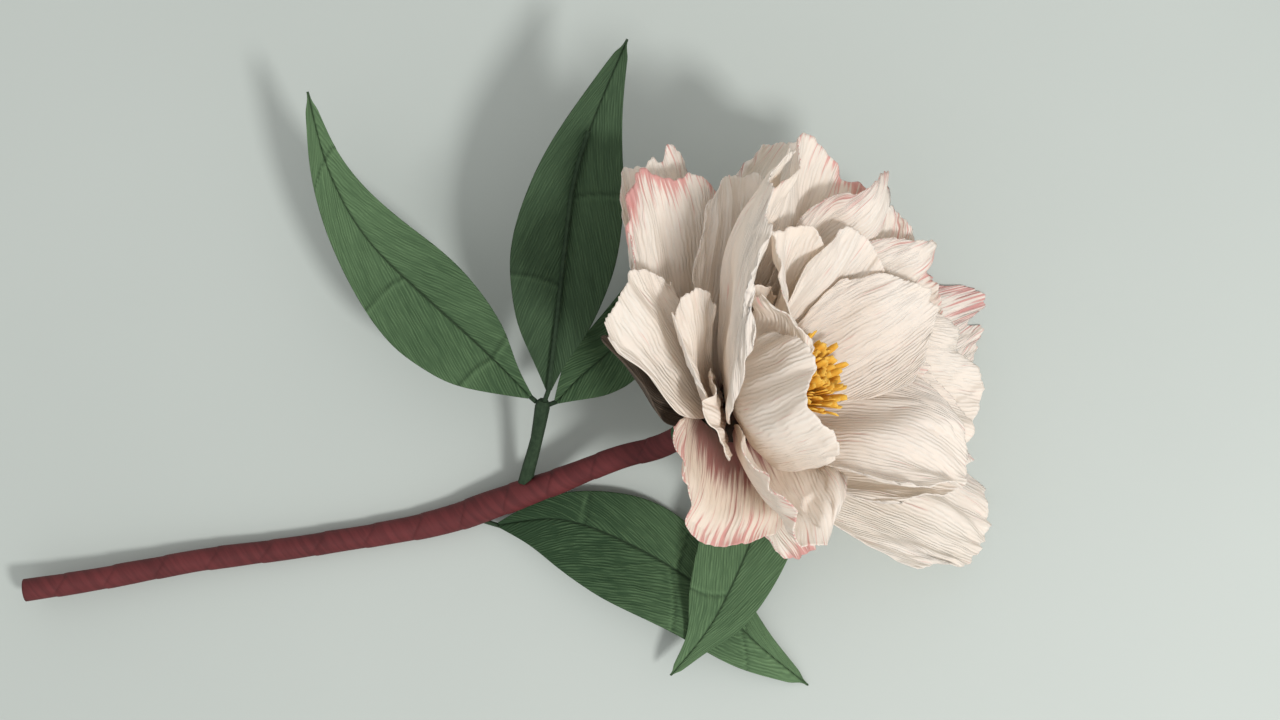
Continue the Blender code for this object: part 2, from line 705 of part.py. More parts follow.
def leaf_row(leaf, share, centre, side, normal):
    """The points across the leaf at a share of its length, from right to left."""
    half = LEAF_COLUMNS // 2
    slope = math.tan(math.radians(leaf.fold))
    points = []
    for column in range(-half, half + 1):
        reach = abs(column) / half
        widths = leaf.left if column > 0 else leaf.right
        offset = reach * float(np.interp(share, LEAF_SHARES, widths)) * MM
        rise = offset * slope * (1 - LEAF_FLATTEN * reach)
        points.append(centre + side * math.copysign(offset, column) + normal * rise)
    return points


def add_leaf(leaf, cutter, holder):
    """The leaf's sheet, creased along the midrib, and the wire along the crease."""
    frames = leaf_frames(leaf)
    places = [leaf_row(leaf, row / LEAF_ROWS, *frame) for row, frame in enumerate(frames)]
    sheet = as_mesh(leaf.name, sheet_shape(places))
    thicken(add_object(leaf.name, sheet, "green crepe", holder), LEAF_PAPER)
    lift = 0.5 * LEAF_PAPER + MIDRIB_RADIUS + TOUCH
    if leaf.rib_side > 0:
        lift += MIDRIB_RADIUS * math.tan(math.radians(leaf.fold))
    wired = frames[:WIRED_ROWS]
    path = [*millimetres([leaf.stalk]), *(c + normal * lift * leaf.rib_side for c, _, normal in wired)]
    name = leaf.name + "_rib"
    rib = add_object(name, rod_mesh(name, path, [MIDRIB_RADIUS] * len(path), 1), "green crepe", holder)
    cut(rib, cutter)


def add_leaves(stem_cutter, holder):
    """The three upper leaves on one stalk, and the two lower ones bound to the stem."""
    path = smooth_curve(millimetres(STALK_ROUTE), STALK_STEPS)
    places = np.linspace(0.0, len(STALK_RADII) - 1, STALK_STEPS)
    radii = [float(r) * MM for r in np.interp(places, range(len(STALK_RADII)), STALK_RADII)]
    stalk = add_object("leaf_stalk", rod_mesh("leaf_stalk", path, radii, 2), "green crepe", holder)
    cut(stalk, stem_cutter)
    beyond = path[-1] + (path[-1] - path[-2]).normalized() * TOUCH
    stalk_cutter = add_cutter("stalk_cutter", [*path[:-1], beyond], [r + TOUCH for r in radii], 2, holder)
    for leaf in LEAVES:
        add_leaf(leaf, stalk_cutter if leaf.stalk == JOINT else stem_cutter, holder)


def stand_on_table(holder):
    """Moves everything so that the footprint is centred on the origin and the lowest point is at 0."""
    bpy.context.view_layer.update()
    depsgraph = bpy.context.evaluated_depsgraph_get()
    corners = []
    for found in bpy.data.objects:
        if found.type == "MESH" and not found.hide_render:
            shown = found.evaluated_get(depsgraph)
            corners += [shown.matrix_world @ vert.co for vert in shown.data.vertices]
    corners = np.array(corners)
    low, high = corners.min(axis=0), corners.max(axis=0)
    holder.location = (-(low[0] + high[0]) / 2, -(low[1] + high[1]) / 2, -low[2])


def main():
    for found in list(bpy.data.objects):
        bpy.data.objects.remove(found)
    peony = add_empty("peony")
    bloom = add_empty("bloom", peony)
    bloom.location = CORE_CENTRE
    bloom.rotation_euler = BLOOM_TURN
    stem_cutter = add_stem(peony)
    add_core(bloom)
    add_calyx(bloom)
    add_stamens(bloom)
    add_petals(bloom)
    add_leaves(stem_cutter, peony)
    stand_on_table(peony)


main()
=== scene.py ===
# %% [markdown]
# # A crepe paper peony
# The real flower is cut from crepe paper, shaped by hand and wound on a wire. The packed part already has
# every petal, leaf and wire in its place, as plain sheets and rods. This lesson dresses them: each sheet
# is measured, then made again as fine crinkled paper with a wavy rim, and every piece gets a finish of
# nodes.

import math

import bpy
import numpy as np
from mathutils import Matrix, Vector, noise
from mathutils.bvhtree import BVHTree


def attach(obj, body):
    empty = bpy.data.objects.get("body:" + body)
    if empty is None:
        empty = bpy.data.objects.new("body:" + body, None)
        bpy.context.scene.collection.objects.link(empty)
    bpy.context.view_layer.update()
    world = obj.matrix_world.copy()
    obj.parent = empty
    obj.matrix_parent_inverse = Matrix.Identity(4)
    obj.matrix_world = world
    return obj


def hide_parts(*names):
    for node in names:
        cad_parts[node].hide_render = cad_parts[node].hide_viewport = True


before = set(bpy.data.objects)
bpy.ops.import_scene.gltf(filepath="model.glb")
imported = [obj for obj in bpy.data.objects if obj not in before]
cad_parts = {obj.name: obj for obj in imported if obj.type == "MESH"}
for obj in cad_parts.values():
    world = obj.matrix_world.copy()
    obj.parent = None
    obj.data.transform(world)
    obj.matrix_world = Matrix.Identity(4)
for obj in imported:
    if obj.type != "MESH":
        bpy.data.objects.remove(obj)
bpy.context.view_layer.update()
print(len(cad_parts), "nodes loaded")

# %% [markdown]
# ## Measures
# The bloom is built about its own axis, so most of its measures are an angle round that axis and a
# distance from the core. The core's centre and the direction that the bloom faces are all that is needed
# to use them.

# %% Measures
MM = 0.001
BLOOM_CENTRE = np.array([62.79, -9.88, 41.05]) * MM
HEADING, TILT = math.radians(27), math.radians(40)
BLOOM_AXIS = np.array(
    [math.cos(TILT) * math.cos(HEADING), math.cos(TILT) * math.sin(HEADING), math.sin(TILT)]
)
ACROSS = np.array([-math.sin(HEADING), math.cos(HEADING), 0.0])
UPWARD = np.cross(BLOOM_AXIS, ACROSS)
print("the bloom faces", BLOOM_AXIS.round(3))

# %% [markdown]
# ## Shader maths
# A finish is easier to read as a sum than as a web of nodes. `Value` wraps one socket, and each operator
# on it adds the Math node that does the same. Colours go through `Finish.mix`, because a Math node turns
# them grey.


# %% Values that add their own nodes
class Value:
    """One number in a shader. Operators on it add Math nodes."""

    def __init__(self, finish, socket):
        self.finish, self.socket = finish, socket

    def maths(self, operation, *others, clamp=False):
        inputs = {place: other for place, other in enumerate((self, *others))}
        return self.finish.node("ShaderNodeMath", {"operation": operation, "use_clamp": clamp}, inputs)[0]

    def turned(self, operation, first):
        return self.finish.node("ShaderNodeMath", {"operation": operation}, {0: first, 1: self})[0]

    def __add__(self, other):
        return self.maths("ADD", other)

    def __sub__(self, other):
        return self.maths("SUBTRACT", other)

    def __mul__(self, other):
        return self.maths("MULTIPLY", other)

    def __truediv__(self, other):
        return self.maths("DIVIDE", other)

    __radd__ = __add__
    __rmul__ = __mul__

    def __rsub__(self, other):
        return self.turned("SUBTRACT", other)

    def clamped(self):
        return self.maths("ADD", 0.0, clamp=True)

    def between(self, low, high):
        """0 below low, 1 above high and smooth between them."""
        settings = {"interpolation_type": "SMOOTHSTEP"}
        inputs = {"Value": self, "From Min": low, "From Max": high}
        return self.finish.node("ShaderNodeMapRange", settings, inputs)["Result"]


class Outputs:
    """A node's outputs, each given as a Value."""

    def __init__(self, finish, made):
        self.finish, self.made = finish, made

    def __getitem__(self, name):
        return Value(self.finish, self.made.outputs[name])


print("besides its operators a value has", [name for name in vars(Value) if name[0] != "_"])

# %% [markdown]
# `Finish` is one material. Every node comes from its `node` method, which takes the type, the settings,
# which are set first, and then what goes into the sockets. The patterns that several finishes share are
# methods too: noise over the flat sheet, noise in the object's space, and the ridges of the crepe.


# %% A finish
class Finish:
    """A material that is built from expressions."""

    def __init__(self, name):
        self.material = bpy.data.materials.new(name)
        self.material.use_nodes = True
        self.tree = self.material.node_tree
        self.tree.nodes.clear()

    def node(self, kind, settings=None, inputs=None):
        """Adds a node and returns its outputs, by number or by name."""
        made = self.tree.nodes.new(kind)
        for name, value in (settings or {}).items():
            setattr(made, name, value)
        for name, value in (inputs or {}).items():
            self.feed(made.inputs[name], value)
        return Outputs(self, made)

    def feed(self, socket, value):
        if isinstance(value, Value):
            self.tree.links.new(value.socket, socket)
        elif socket.type == "RGBA":
            socket.default_value = (*value[:3], 1.0)
        else:
            socket.default_value = value

    def mix(self, factor, first, second):
        """A colour between two others. Numbers 0, 6 and 7 are the factor and the two colours."""
        settings = {"data_type": "RGBA", "clamp_factor": True}
        return self.node("ShaderNodeMix", settings, {0: factor, 6: first, 7: second})[2]

    def attribute(self, name):
        return self.node("ShaderNodeAttribute", {"attribute_name": name})["Fac"]

    def paper(self):
        """The sheet's flat coordinates in metres, across the grain and along it."""
        return self.node("ShaderNodeUVMap", {"uv_map": "paper"})["UV"]

    def paper_noise(self, cycles, detail=3.0, offset=(0.0, 0.0, 0.0)):
        """Noise over the flat sheet, in cycles for each metre across and along the grain."""
        inputs = {"Vector": self.paper(), "Scale": (*cycles, 1.0), "Location": offset}
        place = self.node("ShaderNodeMapping", {}, inputs)[0]
        inputs = {"Vector": place, "Scale": 1.0, "Detail": detail, "Roughness": 0.55}
        return self.node("ShaderNodeTexNoise", {"noise_dimensions": "2D"}, inputs)["Fac"]

    def object_noise(self, cycles, detail=3.0, stretch=(1.0, 1.0, 1.0)):
        """Noise in the object's own space, in cycles for each metre."""
        place = self.node("ShaderNodeTexCoord")["Object"]
        place = self.node("ShaderNodeMapping", {}, {"Vector": place, "Scale": stretch})[0]
        inputs = {"Vector": place, "Scale": cycles, "Detail": detail}
        return self.node("ShaderNodeTexNoise", {}, inputs)["Fac"]

    def ridges(self, pitch):
        """Fine ridges along the grain that wander and break off, from 0 to 1. The pitch is in metres."""
        across = self.node("ShaderNodeSeparateXYZ", {}, {0: self.paper()})[0]
        drift = self.paper_noise((0.25 / pitch, 115.0), detail=2.0)
        waves = ((across / pitch + drift * 1.6) * (2 * math.pi)).maths("SINE") * 0.5 + 0.5
        whole = self.paper_noise((0.5 / pitch, 190.0), detail=1.0, offset=(2.0, 5.0, 0.0)).between(0.3, 0.6)
        return waves * (whole * 0.75 + 0.25)

    def bump(self, height, distance, strength):
        inputs = {"Height": height, "Distance": distance, "Strength": strength}
        return self.node("ShaderNodeBump", {}, inputs)["Normal"]

    def surface(self, inputs, glow=None, glow_share=0.0):
        """The Principled shader, with some light let through where glow is given."""
        body = self.node("ShaderNodeBsdfPrincipled", {}, inputs)["BSDF"]
        if glow:
            through = self.node("ShaderNodeBsdfTranslucent", {}, {"Color": glow})["BSDF"]
            body = self.node("ShaderNodeMixShader", {}, {0: glow_share, 1: body, 2: through})[0]
        self.node("ShaderNodeOutputMaterial", {}, {"Surface": body})
        return self.material


print("patterns:", [name for name in vars(Finish) if name.endswith(("noise", "ridges"))])

# %% [markdown]
# ## Crepe paper
# Crepe paper is scraped off a roller while it is damp, which gathers it into fine ridges that all run one
# way. Every sheet here is cut with that grain along its length. The ridges are a sine wave across the
# grain. Noise makes them wander and break off, because straight and endless lines would look like
# corrugated card. The same ridges lift the bump and paint shade into the dips, and a little light comes
# through the sheet.


# %% The finish of the petals
def petal_finish():
    """Cream crepe with streaks of pink at the rim and burgundy at the foot."""
    crepe = Finish("petal_crepe")
    ridges = crepe.ridges(1.25 * MM)
    folds = crepe.paper_noise((260.0, 26.0), detail=2.0, offset=(3.1, 7.7, 0.0))
    clouds = crepe.object_noise(45.0)
    rim = crepe.attribute("rim_tint")
    foot = crepe.attribute("foot_tint")
    cream = crepe.mix(clouds.between(0.35, 0.7), (0.965, 0.945, 0.90), (0.955, 0.915, 0.855))
    cream = crepe.mix(foot.between(0.02, 0.6) * 0.55, cream, (0.93, 0.76, 0.58))
    # Painted shade in the dips between the ridges.
    cream = crepe.mix((1.0 - ridges) * 0.32, cream, (0.88, 0.76, 0.67))
    streaks = (crepe.paper_noise((1300.0, 55.0), detail=2.0, offset=(9.3, 1.2, 0.0)) - 0.5) * 3.2
    blush = (rim * 1.7 + streaks - 0.55).between(0.0, 0.6)
    pink = crepe.mix(blush * 0.8, cream, (0.72, 0.27, 0.27))
    stain = (foot * 1.5 + streaks * 0.6 - 0.75).between(0.0, 0.7)
    inputs = {
        "Base Color": crepe.mix(stain * 0.9, pink, (0.30, 0.055, 0.065)),
        "Roughness": 0.78,
        "Specular IOR Level": 0.25,
        "Normal": crepe.bump(ridges * 0.45 + folds * 0.9, 0.0005, 0.9),
    }
    return crepe.surface(inputs, glow=(1.0, 0.89, 0.77), glow_share=0.34)


PETAL_CREPE = petal_finish()
print("nodes in", PETAL_CREPE.name, len(PETAL_CREPE.node_tree.nodes))

# %% [markdown]
# The green crepe is the same paper in another colour, a little finer. Its sheets carry a fold field, which
# is above 0 in a crease, where it paints shade, and below 0 on a raised fold, where it paints light. The
# leaves also carry painted light and shade, which grows from the foot to the tip.


# %% The finishes of the leaves and the sepals
def leaf_finish(name, dark, light, glow):
    """Green crepe: painted shade in the dips of its grain and in creases, painted light on raised folds."""
    crepe = Finish(name)
    ridges = crepe.ridges(0.8 * MM)
    fine = crepe.paper_noise((1500.0, 90.0), detail=2.0, offset=(5.0, 2.0, 0.0))
    clouds = crepe.object_noise(28.0)
    fold_and_shade = crepe.attribute("fold_and_shade")
    # The ridges paint shade into the dips of the grain, and the two noises are random tone.
    shade = ridges * 0.35 + fine.between(0.3, 0.7) * 0.2 + clouds.between(0.3, 0.7) * 0.15
    # Painted light and shade that grows from the foot to the tip of each leaf.
    shade = shade + crepe.attribute("painted_shading")
    colour = crepe.mix(shade, dark, light)
    # Painted shade in the creases and painted light on the raised folds.
    colour = crepe.mix(fold_and_shade.clamped() * 0.8, colour, tuple(0.35 * c for c in dark))
    colour = crepe.mix((-1.0 * fold_and_shade).clamped() * 0.5, colour, tuple(1.25 * c for c in light))
    inputs = {
        "Base Color": colour,
        "Roughness": 0.82,
        "Specular IOR Level": 0.25,
        "Normal": crepe.bump(ridges * 0.5 + fine * 0.5 - fold_and_shade * 0.8, 0.0004, 0.8),
    }
    return crepe.surface(inputs, glow=glow, glow_share=0.12)


LEAF_CREPE = leaf_finish("leaf_crepe", (0.026, 0.060, 0.026), (0.150, 0.255, 0.125), (0.24, 0.42, 0.14))
# A darker copy of the leaf crepe, which paints shade on the middle leaf.
SHADED_LEAF_CREPE = leaf_finish(
    "shaded_leaf_crepe", (0.020, 0.043, 0.020), (0.086, 0.150, 0.076), (0.16, 0.30, 0.10)
)
SEPAL_CREPE = leaf_finish("sepal_crepe", (0.075, 0.055, 0.042), (0.19, 0.155, 0.12), (0.25, 0.18, 0.10))
print("green finishes:", [finish.name for finish in (LEAF_CREPE, SHADED_LEAF_CREPE, SEPAL_CREPE)])

# %% [markdown]
# ## Measuring a sheet
# A packed sheet is a thin closed solid. On a merged copy of it, the corners at the foot are found by
# their place, and each next row is what the last one is joined to. A row holds front and back corners in
# turn once it is sorted across the sheet, so the middle of each pair lies in the middle of the paper.


# %% Read the middle of a sheet as a grid
def only(piece):
    """Selects one piece and nothing else."""
    bpy.ops.object.select_all(action="DESELECT")
    piece.select_set(True)
    bpy.context.view_layer.objects.active = piece


def merged_copy(node):
    """The corners of a packed sheet and the pairs of them that are joined."""
    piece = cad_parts[node].copy()
    piece.data = mesh = piece.data.copy()
    bpy.context.scene.collection.objects.link(piece)
    piece.hide_set(False)
    only(piece)
    bpy.ops.object.mode_set(mode="EDIT")
    bpy.ops.mesh.select_all(action="SELECT")
    bpy.ops.mesh.remove_doubles(threshold=1e-6)
    bpy.ops.object.mode_set(mode="OBJECT")
    places = np.array([vert.co[:] for vert in mesh.vertices])
    joined = [tuple(edge.vertices) for edge in mesh.edges]
    bpy.data.objects.remove(piece)
    bpy.data.meshes.remove(mesh)
    return places, joined


def rows_from(foot, joined, count):
    """Rows of corner numbers, each joined to the one before."""
    near = [set() for _ in range(count)]
    for a, b in joined:
        near[a].add(b)
        near[b].add(a)
    rows, seen = [set(foot)], set(foot)
    while len(seen) < count:
        grown = set().union(*(near[corner] for corner in rows[-1])) - seen
        if not grown:
            break
        rows.append(grown)
        seen |= grown
    return [sorted(row) for row in rows]


def sheet_corners(node, is_foot, across_of):
    """The middle of a sheet as an array of rows by columns by three."""
    places, joined = merged_copy(node)
    rows = rows_from(np.flatnonzero(is_foot(places)), joined, len(places))
    grid = []
    for row in rows:
        ordered = places[row][np.argsort(across_of(places[row]))]
        grid.append(0.5 * (ordered[0::2] + ordered[1::2]))
    if len({len(row) for row in grid}) != 1:
        raise ValueError(f"{node} has rows of {[len(row) for row in grid]} corners")
    return np.array(grid)


print("corners of a leaf, merged:", len(merged_copy("leaf_left")[0]))

# %% [markdown]
# The petals and sepals all start close to the core's centre. That is how their feet are told from the
# rest, and the angle round the bloom's axis says what lies left and right on each of them.

# %% Measure the petals and the sepals
FOOT_REACH = 10.25 * MM  # corners nearer to the core's centre than this are a foot


def round_the_axis(places):
    """How far round the bloom's axis each place is from their middle."""
    centred = places - BLOOM_CENTRE
    x, y = centred @ ACROSS, centred @ UPWARD
    middle = math.atan2(y.mean(), x.mean())
    return (np.arctan2(y, x) - middle + math.pi) % (2 * math.pi) - math.pi


def petal_corners(node):
    def at_foot(places):
        return np.linalg.norm(places - BLOOM_CENTRE, axis=1) < FOOT_REACH

    return sheet_corners(node, at_foot, round_the_axis)


PETAL_NODES = sorted(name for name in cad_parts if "_petal_" in name)
SEPAL_NODES = sorted(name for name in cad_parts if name.startswith("sepal_"))
CORNERS = {node: petal_corners(node) for node in PETAL_NODES + SEPAL_NODES}
print({node: corners.shape[:2] for node, corners in CORNERS.items()})

# %% [markdown]
# ## Smooth surfaces
# A cubic spline through the corners, in both directions, turns the flat facets into a smoothly cupped
# petal that can be read at any place. A Subdivision Surface would be as smooth, but it can't be asked for
# a point between its own. `weights` says how much each corner pulls a place, so a surface is one product
# of arrays.


# %% Splines over a grid of corners
def weights(places, count):
    """How much each of count corners pulls each place, with places from 0 to 1."""
    at = np.clip(places, 0.0, 1.0) * (count - 1)
    low = np.minimum(at.astype(int), count - 2)
    t = at - low
    pulls = ((1 - t) ** 3, 3 * t**3 - 6 * t**2 + 4, -3 * t**3 + 3 * t**2 + 3 * t + 1, t**3)
    table = np.zeros((len(at), count))
    line = np.arange(len(at))
    for offset, pull in zip((-1, 0, 1, 2), pulls):
        column, pull = low + offset, pull / 6
        before, after = column < 0, column >= count
        inside = ~before & ~after
        np.add.at(table, (line[inside], column[inside]), pull[inside])
        for outside, end, inner in ((before, 0, 1), (after, count - 1, count - 2)):
            np.add.at(table, (line[outside], end), 2 * pull[outside])
            np.add.at(table, (line[outside], inner), -pull[outside])
    return table


def surface(corners, across, along):
    """Points of the smooth surface at places from 0 to 1 across and along the sheet."""
    rows, columns = corners.shape[:2]
    pulls = weights(along.ravel(), rows), weights(across.ravel(), columns)
    return np.einsum("nr,nc,rcx->nx", *pulls, corners)


def normals_of(places, shape):
    """Unit normals of a grid of places."""
    grid = places.reshape(*shape, 3)
    normal = np.cross(np.gradient(grid, axis=1), np.gradient(grid, axis=0)).reshape(-1, 3)
    return normal / np.linalg.norm(normal, axis=1)[:, None]


def unit_grid(rows, columns):
    """Places from 0 to 1 across and along a sheet."""
    along, across = np.meshgrid(np.linspace(0, 1, rows), np.linspace(0, 1, columns), indexing="ij")
    return across, along


print("a spline through 9 corners, read at 0.5:", weights(np.array([0.5]), 9).round(2)[0])

# %% [markdown]
# ## Room for the ruffles
# The petals lie close together, so a wave in one rim must not come through the next. All the smooth
# surfaces and the table go into one search tree, and each point of a petal looks along its normal, both
# ways, for the nearest sheet.

# %% Look for room on both sides of each sheet
FAR = 9.0 * MM  # no wave needs more room than this
CLEAR_OF_SELF = 0.12 * MM  # a search starts this far from its own sheet
COARSE = (30, 26)  # rows and columns of each sheet in the tree
SOFTENINGS = 9


def grid_quads(rows, columns):
    """Corner numbers of each face of a grid."""
    first = (np.arange(rows - 1)[:, None] * columns + np.arange(columns - 1)[None, :]).ravel()
    return np.stack([first, first + 1, first + columns + 1, first + columns], axis=1)


def crowd_tree():
    """A search tree of all the sheets of the bloom and of the table under them."""
    points = [np.array([(-1.0, -1.0, 0.0), (1.0, -1.0, 0.0), (1.0, 1.0, 0.0), (-1.0, 1.0, 0.0)])]
    faces, start = [np.array([(0, 1, 2, 3)])], 4
    for corners in CORNERS.values():
        across, along = unit_grid(*COARSE)
        points.append(surface(corners, across, along))
        faces.append(grid_quads(*COARSE) + start)
        start += len(points[-1])
    return BVHTree.FromPolygons(np.concatenate(points).tolist(), np.concatenate(faces).tolist())


CROWD = crowd_tree()


def room(places, directions):
    """How far each place can go before it meets another sheet."""
    found = np.full(len(places), FAR)
    for number, (place, direction) in enumerate(zip(places, directions)):
        start = Vector(place) + CLEAR_OF_SELF * Vector(direction)
        distance = CROWD.ray_cast(start, Vector(direction), FAR)[3]
        if distance is not None:
            found[number] = distance
    return found


def softened(field, shape):
    """A field on a grid, with each value brought near the least of its neighbours."""
    grid = field.reshape(shape)
    for _ in range(SOFTENINGS):
        padded = np.pad(grid, 1, mode="edge")
        near = [padded[r : r + shape[0], c : c + shape[1]] for r in range(3) for c in range(3)]
        grid = np.minimum(grid, 0.5 * (np.mean(near, axis=0) + np.min(near, axis=0)))
    return grid.ravel()


print("the tree holds", len(CORNERS), "sheets")

# %% [markdown]
# ## A sheet of paper
# Every sheet starts as a grid primitive whose points are then put in their places. It keeps its flat
# paper coordinates in metres as a UV map, so the crinkles follow the sheet wherever it bends, and a
# finish can read any other number that is stored on its points. Solidify gives it its thickness at the
# end.

# %% Grids, paper coordinates and thickness
PAPER = 0.32 * MM
ABOVE_TABLE = 0.05 * MM


def add_grid(name, places, shape):
    """A grid primitive whose points are put in their places."""
    rows, columns = shape
    bpy.ops.object.select_all(action="DESELECT")
    bpy.ops.mesh.primitive_grid_add(x_subdivisions=columns - 1, y_subdivisions=rows - 1, size=1.0)
    piece = bpy.context.active_object
    piece.name = piece.data.name = name
    piece.data.vertices.foreach_set("co", places.astype(np.float32).ravel())
    piece.data.update()
    return piece


def set_paper(piece, across, along):
    """The sheet's flat coordinates in metres, as the UV map that the finishes read."""
    corner = np.empty(len(piece.data.loops), int)
    piece.data.loops.foreach_get("vertex_index", corner)
    piece.data.uv_layers[0].name = "paper"
    flat = np.stack([across[corner], along[corner]], axis=1)
    piece.data.uv_layers["paper"].uv.foreach_set("vector", flat.astype(np.float32).ravel())


def set_field(piece, name, values):
    """A number on each point, for the finishes."""
    field = piece.data.attributes.new(name, "FLOAT", "POINT")
    field.data.foreach_set("value", values.astype(np.float32))


def above_table(places, thickness):
    """Places that keep a sheet of this thickness clear of the table."""
    places = places.copy()
    places[..., 2] = np.maximum(places[..., 2], 0.5 * thickness + ABOVE_TABLE)
    return places


def thicken(piece, thickness):
    """Gives the sheet its thickness, half of it on each side."""
    only(piece)
    solid = piece.modifiers.new("Paper", "SOLIDIFY")
    solid.thickness, solid.offset = thickness, 0.0
    bpy.ops.object.modifier_apply(modifier=solid.name)
    bpy.ops.object.shade_smooth()


def dress(piece, node, material):
    """Gives a piece its finish and puts it in the place of its node."""
    piece.data.materials.clear()
    piece.data.materials.append(material)
    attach(piece, "root")
    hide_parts(node)


print("petal paper is", round(PAPER / MM, 2), "mm thick")

# %% [markdown]
# Three more helpers shape the sheets. `wave` is smooth noise, which gives hand-made unevenness without
# repeating, and `smooth_step` keeps a change to one part of a sheet. `flat_lengths` measures a bent sheet
# along its rows and columns, which is about how it would lie flat.


# %% Waves and flat lengths
def wave(x, y, seed):
    """Smooth noise from -1 to 1 at places given in cycles."""
    return np.array([noise.noise((a, b, seed)) for a, b in zip(x, y)])


def smooth_step(x, low, high):
    """0 below low, 1 above high and smooth between them."""
    t = np.clip((x - low) / (high - low), 0.0, 1.0)
    return t * t * (3 - 2 * t)


def flat_lengths(places, shape):
    """Distances over the sheet, across from its middle and along from its foot."""
    grid = places.reshape(*shape, 3)
    steps = np.linalg.norm(np.diff(grid, axis=1), axis=2)
    across = np.concatenate([np.zeros((shape[0], 1)), np.cumsum(steps, axis=1)], axis=1)
    across -= across[:, shape[1] // 2][:, None]
    steps = np.linalg.norm(np.diff(grid, axis=0), axis=2)
    along = np.concatenate([np.zeros((1, shape[1])), np.cumsum(steps, axis=0)], axis=0)
    return across.ravel(), along.ravel()


longest = max(flat_lengths(surface(c, *unit_grid(*COARSE)), COARSE)[1].max() for c in CORNERS.values())
print("the longest petal is", round(longest / MM), "mm from foot to rim")

# %% [markdown]
# ## The look of each petal
# Each petal was shaped by hand, so each gets its own looks. The petals that aren't named have the plain
# look, and a named one changes only what it lists.

# %% The look of each petal
PLAIN = {
    "ruffle": 3.2,  # height of the waves in mm
    "curl": 1.2,  # how far the rim bends back, in mm
    "lean": 0.0,  # how far the petal leans in over the stamens, in mm
    "trim": 0.06,  # how unevenly the rim is cut, as a share of the petal's length
    "cut": (0.0, 1.0),  # the part of the packed sheet's width that is kept
    "rim": 0.12,  # how much pink dye the rim took
    "reach": 4.0,  # how far the pink runs in from the rim, in mm
    "foot": 0.7,  # how much burgundy dye the foot took
}
LOOKS = {
    "guard_petal_upper_left": {"rim": 0.9, "reach": 5.5, "foot": 1.3},
    "guard_petal_top": {"rim": 0.35},
    "guard_petal_left": {"rim": 0.0, "curl": 3.5, "cut": (0.0, 0.73)},
    "guard_petal_lower_left": {"rim": 0.75, "reach": 8.0, "foot": 1.7},
    "guard_petal_bottom": {"rim": 1.0, "reach": 5.0, "foot": 1.0},
    "guard_petal_lower_right": {"rim": 0.1, "ruffle": 4.0, "trim": 0.08},
    "guard_petal_right": {"rim": 0.62, "reach": 16.0, "foot": 0.8},
    "guard_petal_top_right": {"rim": 0.3, "reach": 10.0},
    "outer_petal_top": {"rim": 0.7, "reach": 3.5},
    "outer_petal_top_right": {"rim": 0.45, "reach": 12.0},
    "outer_petal_upper": {"rim": 0.0, "ruffle": 4.6, "curl": 1.5, "trim": 0.1, "lean": 4.5},
    "outer_petal_narrow": {"rim": 0.0, "curl": 3.0},
    "outer_petal_short": {"rim": 0.0, "curl": 3.5},
    "outer_petal_lower": {"rim": 0.35, "ruffle": 3.8, "curl": 2.5, "foot": 1.2},
    "outer_petal_far": {"rim": 0.45, "reach": 10.0},
    "inner_petal_lower": {"foot": 1.0},
    "inner_petal_front": {"rim": 0.0},
}
print(len(LOOKS), "petals have looks of their own")

# %% [markdown]
# ## Making a petal
# First the rim is cut unevenly, as scissors and stretching leave it: low waves, small nicks and now and
# then a notch. Then ruffles, a frill at the very rim and long pleats push the sheet along its normals.
# Each wave has less than half of the room that was found, so two neighbours that both swell still don't
# meet. Last, no point may sink into the table.

# %% Cut and ruffle a petal
PETAL_GRID = (72, 104)  # rows and columns
SHARE_OF_ROOM, CLEARANCE = 0.42, 0.8 * MM
STAMEN_SIDE = BLOOM_CENTRE + 60 * MM * BLOOM_AXIS  # a place that every petal's inner side faces


def petal_cut(across, along, look, seed):
    """Where on the packed sheet each point of the cut petal lies."""
    still = 0 * across
    uneven = 0.5 + 0.6 * wave(across * 4.5, still, seed + 0.3) + 0.2 * wave(across * 17.0, still, seed + 0.7)
    uneven += 0.2 * wave(across * 34.0, still, seed + 0.8)
    notch = smooth_step(wave(across * 6.0, still, seed + 0.9), 0.15, 0.6)
    along_cut = along * (1 - look["trim"] * np.clip(uneven + notch, 0.0, 2.0) * along**3)
    side = np.sign(across - 0.5)
    narrow = 1 - 0.035 * (1 + wave(along * 9.0, side, seed + 1.1)) * smooth_step(along, 0.2, 0.5)
    low, high = look["cut"]
    return low + (high - low) * (0.5 + (across - 0.5) * narrow), along_cut


def petal_push(across, along, flat_across, flat_along, look, seed):
    """How far each point wants to go along its normal, towards the stamens where it is above 0."""
    still = 0 * across
    rise = smooth_step(along, 0.25, 1.0)
    side = smooth_step(np.abs(2 * across - 1), 0.55, 1.0) * smooth_step(along, 0.15, 0.5)
    loose = np.maximum(rise, side)
    ruffles = wave(across * 4.2, along * 0.8, seed + 1.5) + 0.6 * wave(across * 9.0, along * 1.6, seed + 2.5)
    frill = wave(flat_across / (3.6 * MM), flat_along / (9 * MM), seed + 4.5) * smooth_step(along, 0.66, 1.0)
    pleats = wave(flat_across / (3.2 * MM), flat_along / (34 * MM), seed + 3.5)
    push = look["ruffle"] * MM * (ruffles * loose + 0.5 * frill) + 0.5 * MM * pleats * (0.35 + 0.65 * loose)
    push += look["lean"] * MM * smooth_step(along, 0.1, 0.9)
    curl = look["curl"] * MM * smooth_step(along, 0.72, 1.0)
    return push - curl * (1 + 0.8 * wave(across * 3.0, still, seed + 5.5))


